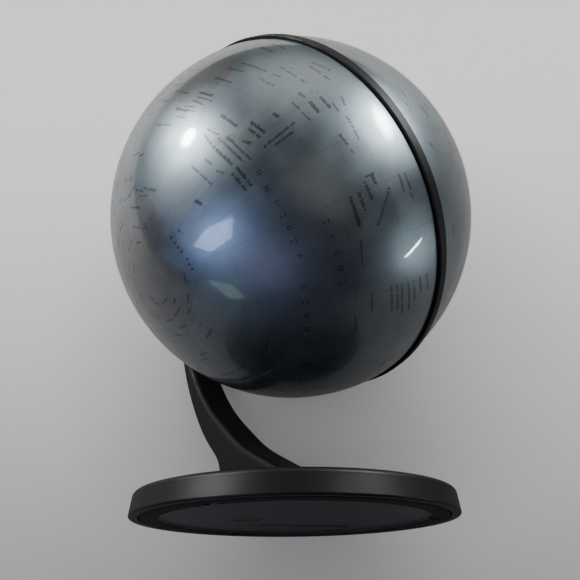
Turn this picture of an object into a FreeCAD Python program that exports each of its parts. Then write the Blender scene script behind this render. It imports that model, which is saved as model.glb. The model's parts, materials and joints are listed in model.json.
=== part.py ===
import FreeCAD, Part
import math
import os

# Desk globe: a 150 mm ball made of two hemispheres that spin together on a polar
# axle, carried by a ring round the equator, which tilts on one pivot at the top
# of a C-shaped arm on a weighted round base.  Millimetres.
# +Z up, origin at the centre of the base on the table plane, arm on the +Y side,
# north pole leaning towards +X.

V = FreeCAD.Vector

# ---------------------------------------------------------------- dimensions
BALL_R = 75.0            # outer radius of the ball
SHELL_T = 1.6            # wall of the hemispheres
CENTRE_Z = 123.5         # ball centre above the table
TILT_DEG = 54.8          # lean of the polar axis from the vertical
RING_R = 76.1            # outer radius of the equator ring
RING_IN_R = 72.9         # inner radius of the ring's rim
RING_HALF_W = 2.15       # half width of the ring's rim
SEAM_GAP = 0.40          # gap between the rim and each hemisphere
WEB_HALF_T = 1.0         # half thickness of the ring's web
RIB_HALF_H = 3.2         # half height of the six ribs on the web
HUB_R = 9.0
HUB_HALF_L = 8.0
AXLE_R = 2.5
AXLE_RUN = 0.05          # running clearance on the radius
BASE_R = 58.5
BASE_WALL_TOP = 8.8      # height of the base wall, to the top of its rounded edge
BASE_FLARE = 0.8         # how much wider the wall stands at its foot
BASE_DOME = 12.5         # height of the base top in its middle
BASE_EDGE_R = 2.0
BASE_T = 2.5
LIP_Z = 0.3              # underside of the base wall above the table
COVER_R = 55.5
FOOT_IN_R = 48.75        # inner radius of the foot ring under the cover
FOOT_H = 3.0
RECESS_Z = 1.2
BALLAST_R = 46.0
ARM_W = 15.0
ARM_EDGE = 2.6           # rounding along the arm
ARM_IN_Y = 86.3          # inner face of the arm at the pivot
ARM_OUT_Y = 93.3
PIVOT_SHANK_R = 2.5
COVER_SCREW_R = 50.9     # circle of the cover screws
COVER_SCREW_DEG = (-34.0, 86.0, 206.0)
ARM_SCREW_Y = (-4.0, 30.0)

os.makedirs("parts", exist_ok=True)
S = {}

C = V(0, 0, CENTRE_Z)


# ---------------------------------------------------------------- helpers
def cyl(r, z0, z1, x=0.0, y=0.0):
    return Part.makeCylinder(r, z1 - z0, V(x, y, z0), V(0, 0, 1))


def tube(ro, ri, z0, z1, x=0.0, y=0.0):
    return cyl(ro, z0, z1, x, y).cut(cyl(ri, z0 - 1, z1 + 1, x, y))


def rev(pts):
    """Closed outline in r,z turned about Z.  A point is (r, z); a tuple of two
    points ((mid), (end)) is an arc through mid to end."""
    edges = []
    last = V(pts[0][0], 0, pts[0][1])
    first = last
    for p in pts[1:]:
        if isinstance(p[0], tuple):
            m = V(p[0][0], 0, p[0][1])
            e = V(p[1][0], 0, p[1][1])
            edges.append(Part.Arc(last, m, e).toShape())
        else:
            e = V(p[0], 0, p[1])
            edges.append(Part.LineSegment(last, e).toShape())
        last = e
    if (last - first).Length > 1e-6:
        edges.append(Part.LineSegment(last, first).toShape())
    face = Part.Face(Part.Wire(edges))
    return face.revolve(V(0, 0, 0), V(0, 0, 1), 360)


def arc_mid(r0, z0, r1, z1, rad, up=True):
    """Middle point of the arc of the given radius between two r,z points."""
    mx, mz = (r0 + r1) / 2.0, (z0 + z1) / 2.0
    dx, dz = r1 - r0, z1 - z0
    L = math.hypot(dx, dz)
    h = rad - math.sqrt(max(rad * rad - L * L / 4.0, 0.0))
    nx, nz = -dz / L, dx / L
    if (nz < 0) == up:
        nx, nz = -nx, -nz
    return (mx + nx * h, mz + nz * h)


def ycyl(r, y0, y1, z=CENTRE_Z, x=0.0):
    return Part.makeCylinder(r, y1 - y0, V(x, y0, z), V(0, 1, 0))


def ytube(ro, ri, y0, y1, z=CENTRE_Z, x=0.0):
    return ycyl(ro, y0, y1, z, x).cut(ycyl(ri, y0 - 1, y1 + 1, z, x))


def yrev(pts):
    """Outline in r,y turned about the pivot axis (parallel to Y through C)."""
    s = rev(pts)
    s.rotate(V(0, 0, 0), V(1, 0, 0), -90)      # Z becomes +Y
    s.translate(C)
    return s


def globe_place(s):
    """From the globe's own frame (polar axis on Z, pivot on Y) to the object."""
    s = s.copy()
    s.rotate(V(0, 0, 0), V(0, 1, 0), TILT_DEG)
    s.translate(C)
    return s


def group(shapes):
    return Part.makeCompound(shapes)


def save(name, shape):
    S[name] = shape


# ---------------------------------------------------------------- base
dome_rad = ((BASE_R - BASE_EDGE_R) ** 2 + (BASE_DOME - BASE_WALL_TOP) ** 2) / (2 * (BASE_DOME - BASE_WALL_TOP))


def dome_z(r):
    return BASE_DOME - dome_rad + math.sqrt(dome_rad * dome_rad - r * r)


er = BASE_R - BASE_EDGE_R
q = BASE_EDGE_R * math.sqrt(0.5)
outer_pts = [
    (0.0, LIP_Z), (BASE_R + BASE_FLARE - 0.5, LIP_Z),
    ((BASE_R + BASE_FLARE - 0.12, LIP_Z + 0.22), (BASE_R + BASE_FLARE, LIP_Z + 0.8)),
    (BASE_R - 0.1, BASE_WALL_TOP - BASE_EDGE_R),
    ((er - 0.1 + q, BASE_WALL_TOP - BASE_EDGE_R + q), (er, BASE_WALL_TOP)),
    ((er / 2.0, dome_z(er / 2.0)), (0.0, BASE_DOME)),
]
base_solid = rev(outer_pts)
in_r = BASE_R - BASE_T
inner_top = BASE_DOME - BASE_T
inner_edge = dome_z(in_r - 1.0) - BASE_T
base_hollow = rev([
    (0.0, LIP_Z - 1.0), (in_r, LIP_Z - 1.0), (in_r, inner_edge - 1.2),
    (in_r - 1.2, inner_edge),
    ((in_r / 2.0, dome_z(in_r / 2.0) - BASE_T), (0.0, inner_top)),
])
shell = base_solid.cut(base_hollow)

adds = []
cuts = []
for a in COVER_SCREW_DEG:
    x = COVER_SCREW_R * math.cos(math.radians(a))
    y = COVER_SCREW_R * math.sin(math.radians(a))
    adds.append(cyl(3.4, FOOT_H, dome_z(COVER_SCREW_R) - 1.2, x, y))
    cuts.append(cyl(1.25, FOOT_H - 1, dome_z(COVER_SCREW_R) - 2.2, x, y))
for y in ARM_SCREW_Y:
    adds.append(cyl(5.5, 8.1, dome_z(abs(y)) - 1.2, 0, y))
    cuts.append(cyl(1.75, 5.0, 20.0, 0, y))
for s in adds:
    shell = shell.fuse(s)
for s in cuts:
    shell = shell.cut(s)
save("base_shell", shell.removeSplitter())

# bottom cover: a flat foot ring round a shallow recess, three sunk screw holes
cover = rev([
    (0.0, RECESS_Z), (FOOT_IN_R - 0.5, RECESS_Z), (FOOT_IN_R, 0.7), (FOOT_IN_R + 0.6, 0.0),
    (COVER_R - 0.6, 0.0), ((COVER_R - 0.18, 0.18), (COVER_R, 0.6)),
    (COVER_R, FOOT_H), (0.0, FOOT_H),
])
for a in COVER_SCREW_DEG:
    x = COVER_SCREW_R * math.cos(math.radians(a))
    y = COVER_SCREW_R * math.sin(math.radians(a))
    cover = cover.cut(cyl(2.35, -1.0, 1.9, x, y)).cut(cyl(1.45, -1.0, 5.0, x, y))
# pry notch in the rim of the cover
notch = Part.makeBox(4.2, 3.0, 1.6, V(-2.1, -1.5, -0.3))
notch.translate(V(COVER_R, 0, 0))
notch.rotate(V(0, 0, 0), V(0, 0, 1), 128.0)
cover = cover.cut(notch)
save("base_cover", cover.removeSplitter())

# cover screws: sunk pan heads with a cross recess
screws = []
for a in COVER_SCREW_DEG:
    x = COVER_SCREW_R * math.cos(math.radians(a))
    y = COVER_SCREW_R * math.sin(math.radians(a))
    s = rev([(0.0, 0.65), (1.5, 0.65), ((2.0, 0.85), (2.15, 1.25)), (2.15, 1.9), (1.25, 1.9),
             (1.25, dome_z(COVER_SCREW_R) - 2.9), (0.9, dome_z(COVER_SCREW_R) - 2.5), (0.0, dome_z(COVER_SCREW_R) - 2.5)])
    cross = Part.makeBox(2.4, 0.5, 0.8, V(-1.2, -0.25, 0.55)).fuse(Part.makeBox(0.5, 2.4, 0.8, V(-0.25, -1.2, 0.55)))
    s = s.cut(cross)
    s.rotate(V(0, 0, 0), V(0, 0, 1), a + 20.0)
    s.translate(V(x, y, 0))
    screws.append(s)
save("cover_screws", group(screws))

# ballast plate, clamped between the cover and pads under the shell
ballast = rev([(0.0, FOOT_H), (BALLAST_R - 0.8, FOOT_H), (BALLAST_R, FOOT_H + 0.8), (BALLAST_R, 5.2), (BALLAST_R - 0.8, 6.0), (0.0, 6.0)])
save("ballast_plate", ballast)
ring_pad = tube(42.0, 39.0, 6.0, 12.0).common(base_hollow)
save("ballast_pad", ring_pad)

# ---------------------------------------------------------------- arm
R = BALL_R
outer_curve = [(93.3, CENTRE_Z), (92.9, 111.5), (91.0, 97.5), (86.6, 83.2), (80.6, 69.3), (73.2, 56.6), (64.1, 44.2),
               (55.9, 35.8), (50.0, 30.4)]
foot_outer = [(50.0, 30.4), (47.0, 26.2), (45.9, 21.5), (46.4, 16.5), (48.5, 12.2), (50.5, 9.0)]
inner_curve = [(86.3, CENTRE_Z), (86.1, 114.0), (83.7, 98.5), (78.4, 82.8), (70.0, 69.0), (55.2, 52.6), (41.0, 41.4),
               (29.0, 33.0), (17.0, 26.8), (5.5, 21.5), (-4.0, 17.4), (-12.5, 14.4), (-19.0, 12.3)]


def yz(p):
    return V(0, p[0], p[1])


def spline(points, t0=None, t1=None):
    c = Part.BSplineCurve()
    pts = [yz(p) for p in points]
    if t0 is not None and t1 is not None:
        c.interpolate(Points=pts, InitialTangent=V(0, t0[0], t0[1]), FinalTangent=V(0, t1[0], t1[1]))
    else:
        c.interpolate(Points=pts)
    return c.toShape()


TOP_R = 7.5
TOP_Z = CENTRE_Z + TOP_R
oc = spline(outer_curve + foot_outer[1:])
ic = spline(list(reversed(inner_curve)))
end_o = yz((50.5, 9.0))
end_i = yz((-19.0, 12.3))
low_o = yz((50.5, 5.0))
low_i = yz((-19.0, 5.0))
e = [
    Part.LineSegment(yz((ARM_OUT_Y, TOP_Z + 1.0)), yz((ARM_OUT_Y, CENTRE_Z))).toShape(),
    oc,
    Part.LineSegment(end_o, low_o).toShape(),
    Part.LineSegment(low_o, low_i).toShape(),
    Part.LineSegment(low_i, end_i).toShape(),
    ic,
    Part.LineSegment(yz((ARM_IN_Y, CENTRE_Z)), yz((ARM_IN_Y, TOP_Z + 1.0))).toShape(),
    Part.LineSegment(yz((ARM_IN_Y, TOP_Z + 1.0)), yz((ARM_OUT_Y, TOP_Z + 1.0))).toShape(),
]
wire = Part.Wire(Part.__sortEdges__(e))
prof = Part.Face(wire)
arm = prof.extrude(V(ARM_W, 0, 0))
arm.translate(V(-ARM_W / 2.0, 0, 0))
# round the top end about the pivot axis
cap_keep = Part.makeBox(ARM_W + 2, 60, 60, V(-ARM_W / 2.0 - 1, ARM_IN_Y - 40, CENTRE_Z))
cap_keep = cap_keep.cut(ycyl(TOP_R, ARM_IN_Y - 50, ARM_OUT_Y + 10))
arm = arm.cut(cap_keep)


def long_edges(shape):
    """The curved edges where the arm's sides meet its inner and outer faces,
    and the rounded top."""
    out = []
    for ed in shape.Edges:
        bb = ed.BoundBox
        if abs(bb.XMax - bb.XMin) < 1e-3 and abs(abs(bb.XMax) - ARM_W / 2.0) < 1e-3 and bb.ZMax > 14.0 and bb.ZMax - bb.ZMin > 5.0:
            if bb.YMax - bb.YMin > 0.5:
                out.append(ed)
    return out


def top_edges(shape):
    out = []
    for ed in shape.Edges:
        bb = ed.BoundBox
        if bb.ZMin > CENTRE_Z - 0.01 and (abs(bb.YMin - ARM_IN_Y) < 1e-3 and abs(bb.YMax - ARM_IN_Y) < 1e-3
                                          or abs(bb.YMin - ARM_OUT_Y) < 1e-3 and abs(bb.YMax - ARM_OUT_Y) < 1e-3):
            out.append(ed)
    return out


edges = long_edges(arm) + top_edges(arm)
print("arm edges to round:", len(edges), [(round(x.BoundBox.YMin, 1), round(x.BoundBox.ZMin, 1), round(x.BoundBox.ZMax, 1)) for x in edges])
try:
    arm2 = arm.makeFillet(ARM_EDGE, edges)
    if arm2.isValid() and arm2.Volume > 1000:
        arm = arm2
    else:
        print("arm rounding invalid")
except Exception as ex:
    print("arm rounding failed:", ex)

# boss towards the ring, bore for the bush, sunk seat for the screw head
BOSS_R = 7.0
BOSS_Y = 80.8
arm = arm.fuse(yrev([(0.0, BOSS_Y), (BOSS_R - 0.8, BOSS_Y), ((BOSS_R - 0.23, BOSS_Y + 0.23), (BOSS_R, BOSS_Y + 0.8)), (BOSS_R, 90.0), (0.0, 90.0)]))
SEAT_Y = 88.9
SEAT_R = 5.6
arm = arm.cut(ycyl(4.0, BOSS_Y - 2, SEAT_Y + 1)).cut(ycyl(SEAT_R, SEAT_Y, ARM_OUT_Y + 5))
# the foot sits on the domed base top
arm = arm.cut(base_solid)
for y in ARM_SCREW_Y:
    top = 16.0 if y < 10 else 22.5
    arm = arm.cut(cyl(1.5, 0.0, top, 0, y))
arm = arm.removeSplitter()
if len(arm.Solids) > 1:
    sol = sorted(arm.Solids, key=lambda s: -s.Volume)
    print("arm solids", [round(s.Volume, 2) for s in sol])
    arm = sol[0]
save("arm", arm)

# arm screws and washers, up through the base shell
scr = []
was = []
for y in ARM_SCREW_Y:
    top = 15.5 if y < 10 else 22.0
    s = rev([(0.0, 6.3), (2.4, 6.3), ((2.9, 6.45), (3.1, 6.85)), (3.1, 7.6), (1.5, 7.6), (1.5, top - 0.6), (0.9, top), (0.0, top)])
    s = s.cut(Part.makeBox(3.2, 0.7, 0.8, V(-1.6, -0.35, 6.1)).fuse(Part.makeBox(0.7, 3.2, 0.8, V(-0.35, -1.6, 6.1))))
    s.translate(V(0, y, 0))
    scr.append(s)
    was.append(tube(4.2, 1.7, 7.6, 8.1, 0, y))
save("arm_screws", group(scr))
save("arm_washers", group(was))

# ---------------------------------------------------------------- pivot at the arm's top
# bush pressed into the arm; the screw turns in it with the ring
bush = ytube(4.0, PIVOT_SHANK_R + AXLE_RUN, BOSS_Y, SEAT_Y)
save("pivot_bush", bush)
fric = ytube(6.6, 3.1, 80.05, BOSS_Y)
save("friction_washer", fric)
flat = ytube(5.2, PIVOT_SHANK_R + 0.1, SEAT_Y, SEAT_Y + 0.6)
save("pivot_washer", flat)
# cone spring washer between the flat washer and the screw head
y0 = SEAT_Y + 0.65
spr = yrev([(2.5, y0 + 0.45), (4.6, y0), (4.6, y0 + 0.35), (2.5, y0 + 0.8)])
save("spring_washer", spr)
HEAD_Y = y0 + 0.8
screw = yrev([(0.0, 76.8), (1.7, 76.8), (2.1, 77.2), (2.1, 79.4), (PIVOT_SHANK_R, 79.95), (PIVOT_SHANK_R, HEAD_Y), (4.5, HEAD_Y), (4.5, HEAD_Y + 0.9),
              ((4.0, HEAD_Y + 1.6), (3.0, HEAD_Y + 1.85)), (0.0, HEAD_Y + 1.85)])
slot = Part.makeBox(5.0, 1.2, 0.8, V(-2.5, HEAD_Y + 1.0, CENTRE_Z - 0.4)).fuse(Part.makeBox(0.8, 1.2, 5.0, V(-0.4, HEAD_Y + 1.0, CENTRE_Z - 2.5)))
screw = screw.cut(slot)
save("pivot_screw", screw)
# cap over the screw head
CAP_Y = HEAD_Y + 2.25
cap = yrev([(0.0, CAP_Y), (4.7, CAP_Y), (4.7, CAP_Y - 1.6), (5.55, CAP_Y - 1.6), (5.55, ARM_OUT_Y), (6.3, ARM_OUT_Y),
            ((6.06, ARM_OUT_Y + 0.76), (5.3, ARM_OUT_Y + 1.1)), (2.65, ARM_OUT_Y + 1.4), (0.0, ARM_OUT_Y + 1.4)])
print("cap inner", CAP_Y, "arm outer", ARM_OUT_Y)
save("pivot_cap", cap)

# ---------------------------------------------------------------- equator ring (globe frame)
W = RING_HALF_W
rim = rev([(RING_IN_R, -W), (RING_R - 0.5, -W), ((RING_R - 0.15, -W + 0.15), (RING_R, -W + 0.5)), (RING_R, W - 0.5),
           ((RING_R - 0.15, W - 0.15), (RING_R - 0.5, W)), (RING_IN_R, W)])
hub = rev([(4.0, -HUB_HALF_L), (HUB_R - 1.0, -HUB_HALF_L), (HUB_R, -HUB_HALF_L + 1.0), (HUB_R, HUB_HALF_L - 1.0), (HUB_R - 1.0, HUB_HALF_L), (4.0, HUB_HALF_L)])
ring = rim.fuse(hub)
ring = ring.fuse(cyl(RING_IN_R + 0.5, -WEB_HALF_T, WEB_HALF_T))
for i in range(6):
    sp = Part.makeBox(RING_IN_R - 5.0 - 6.0, 1.8, 2 * RIB_HALF_H, V(6.0, -0.9, -RIB_HALF_H))
    sp.rotate(V(0, 0, 0), V(0, 0, 1), 90.0 + 60.0 * i)
    ring = ring.fuse(sp)
ring = ring.cut(cyl(4.0, -20, 20))
# lug that carries the pivot, on the +Y side of the rim, with a bore for the insert
lug = Part.makeCylinder(6.2, 79.9 - 67.0, V(0, 67.0, 0), V(0, 1, 0))
slab = Part.makeBox(14.0, 14.0, 2 * W, V(-7.0, 66.0, -W))
outer_part = Part.makeCylinder(6.2, 79.9 - 75.4, V(0, 75.4, 0), V(0, 1, 0))
inner_part = lug.common(slab)
ring = ring.fuse(inner_part).fuse(outer_part)
ring = ring.cut(Part.makeCylinder(3.2, 8.0, V(0, 75.9, 0), V(0, 1, 0)))
ring = ring.removeSplitter()
if len(ring.Solids) == 1:
    ring = ring.Solids[0]
save("equator_ring", globe_place(ring))
insert = Part.makeCylinder(3.2, 4.0, V(0, 75.9, 0), V(0, 1, 0)).cut(Part.makeCylinder(2.1, 8.0, V(0, 76.8, 0), V(0, 1, 0)))
insert = insert.cut(Part.makeCone(2.1, 2.5, 0.55, V(0, 79.4, 0), V(0, 1, 0)))
save("pivot_insert", globe_place(insert))

# ---------------------------------------------------------------- hub bushes, axle and its fittings
def flange_bush(sign):
    s = rev([(AXLE_R + AXLE_RUN, 2.0), (4.0, 2.0), (4.0, HUB_HALF_L), (6.5, HUB_HALF_L), (6.5, HUB_HALF_L + 1.4), (AXLE_R + AXLE_RUN, HUB_HALF_L + 1.4)])
    if sign < 0:
        s.rotate(V(0, 0, 0), V(1, 0, 0), 180)
    return s


save("hub_bush_north", globe_place(flange_bush(1)))
save("hub_bush_south", globe_place(flange_bush(-1)))
AX_END = 69.0
GROOVE_Z = 10.4
axle = rev([(0.0, -AX_END), (AXLE_R - 0.5, -AX_END), (AXLE_R, -AX_END + 0.5),
            (AXLE_R, -GROOVE_Z - 0.8), (2.0, -GROOVE_Z - 0.8), (2.0, -GROOVE_Z), (AXLE_R, -GROOVE_Z),
            (AXLE_R, GROOVE_Z), (2.0, GROOVE_Z), (2.0, GROOVE_Z + 0.8), (AXLE_R, GROOVE_Z + 0.8),
            (AXLE_R, AX_END - 0.5), (AXLE_R - 0.5, AX_END), (0.0, AX_END)])
save("polar_axle", globe_place(axle))
tw = []
clips = []
for sgn in (-1, 1):
    a, b = sorted((sgn * 9.5, sgn * GROOVE_Z))
    tw.append(tube(5.4, AXLE_R, a, b))
    a, b = sorted((sgn * GROOVE_Z, sgn * (GROOVE_Z + 0.8)))
    c = tube(4.6, 2.0, a, b)
    c = c.cut(Part.makeBox(6.0, 2.6, 3.0, V(0.0, -1.3, a - 1)))
    clips.append(c)
save("thrust_washers", globe_place(group(tw)))
save("axle_clips", globe_place(group(clips)))

# ---------------------------------------------------------------- hemispheres with rim hoops and pole sockets
IN_R = BALL_R - SHELL_T
EDGE_Z = RING_HALF_W + SEAM_GAP


def half(sign):
    a = math.asin(EDGE_Z / BALL_R)
    ai = math.asin(EDGE_Z / IN_R)
    am = (a + math.pi / 2) / 2
    aim = (ai + math.pi / 2) / 2
    s = rev([(IN_R * math.cos(ai), EDGE_Z), (BALL_R * math.cos(a), EDGE_Z),
             ((BALL_R * math.cos(am), BALL_R * math.sin(am)), (0.0, BALL_R)),
             (0.0, IN_R),
             ((IN_R * math.cos(aim), IN_R * math.sin(aim)), (IN_R * math.cos(ai), EDGE_Z))])
    if sign < 0:
        s.rotate(V(0, 0, 0), V(1, 0, 0), 180)
    return s


inner_ball = Part.makeSphere(IN_R)


def hoop(sign):
    s = tube(74.0, 70.2, EDGE_Z, EDGE_Z + 4.0).common(inner_ball)
    if sign < 0:
        s.rotate(V(0, 0, 0), V(1, 0, 0), 180)
    return s


def socket(sign):
    s = cyl(5.0, 57.0, 74.5).fuse(cyl(12.0, 70.5, 74.5))
    for i in range(4):
        rib = Part.makeBox(9.0, 1.6, 14.0, V(2.0, -0.8, 60.5))
        rib.rotate(V(0, 0, 0), V(0, 0, 1), 90 * i + 45)
        s = s.fuse(rib)
    s = s.cut(cyl(AXLE_R, 50.0, AX_END))
    s = s.common(inner_ball)
    if sign < 0:
        s.rotate(V(0, 0, 0), V(1, 0, 0), 180)
    return s.removeSplitter()


for nm, sg in (("north", 1), ("south", -1)):
    save(nm + "_hemisphere", globe_place(half(sg)))
    save(nm + "_rim_hoop", globe_place(hoop(sg)))
    save(nm + "_pole_socket", globe_place(socket(sg)))

# ---------------------------------------------------------------- write out
tot = None
for name in sorted(S):
    sh = S[name]
    sol = sh.Solids
    ok = sh.isValid() and len(sol) >= 1
    bb = sh.BoundBox
    print("%-20s solids %d valid %s vol %.1f  x %.1f..%.1f y %.1f..%.1f z %.1f..%.1f" % (
        name, len(sol), ok, sh.Volume, bb.XMin, bb.XMax, bb.YMin, bb.YMax, bb.ZMin, bb.ZMax))
    out = sol[0] if len(sol) == 1 else Part.makeCompound(sol)
    out.exportStep("parts/" + name + ".step")
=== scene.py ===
import json
import math

import bpy
import numpy as np
from mathutils import Matrix, Vector


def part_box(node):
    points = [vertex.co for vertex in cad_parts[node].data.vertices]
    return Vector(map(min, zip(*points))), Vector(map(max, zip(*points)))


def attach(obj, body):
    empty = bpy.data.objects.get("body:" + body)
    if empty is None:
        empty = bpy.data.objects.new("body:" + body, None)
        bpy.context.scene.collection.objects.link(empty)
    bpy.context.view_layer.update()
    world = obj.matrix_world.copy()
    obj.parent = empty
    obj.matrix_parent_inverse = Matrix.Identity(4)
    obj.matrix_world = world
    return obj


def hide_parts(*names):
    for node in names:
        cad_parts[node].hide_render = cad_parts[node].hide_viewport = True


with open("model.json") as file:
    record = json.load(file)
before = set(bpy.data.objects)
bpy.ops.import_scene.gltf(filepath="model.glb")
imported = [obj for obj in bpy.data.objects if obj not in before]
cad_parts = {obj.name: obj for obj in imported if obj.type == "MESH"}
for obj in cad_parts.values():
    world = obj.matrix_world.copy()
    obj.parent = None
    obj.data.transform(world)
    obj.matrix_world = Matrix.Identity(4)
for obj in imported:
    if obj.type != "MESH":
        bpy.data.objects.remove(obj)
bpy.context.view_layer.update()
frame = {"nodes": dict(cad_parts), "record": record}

# ------------------------------------------------------------------ the globe's own axes
TILT = math.radians(54.8)
NORTH = np.array([math.sin(TILT), 0.0, math.cos(TILT)])
PIVOT = np.array([0.0, 1.0, 0.0])
GX = np.cross(PIVOT, NORTH)                      # globe frame: GX, PIVOT, NORTH
lo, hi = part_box("north_hemisphere")
lo2, hi2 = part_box("south_hemisphere")
R = (hi[0] - lo2[0]) / 2.0                       # ball radius, metres
CEN = np.array([0.0, 0.0, hi[2] - R])
LON0 = 290.5                                     # east longitude that faces GX


def to_obj(p):
    """Points in the globe's frame (unit sphere) to the row frame, in metres, times R."""
    p = np.asarray(p, float)
    return CEN + R * (p[..., 0:1] * GX + p[..., 1:2] * PIVOT + p[..., 2:3] * NORTH)


def unit(lon, lat):
    """East longitude and latitude in degrees to the globe's frame."""
    a = np.radians(np.asarray(lon, float) - LON0)
    b = np.radians(np.asarray(lat, float))
    return np.stack([np.cos(b) * np.cos(a), np.cos(b) * np.sin(a), np.sin(b)], -1)


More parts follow.
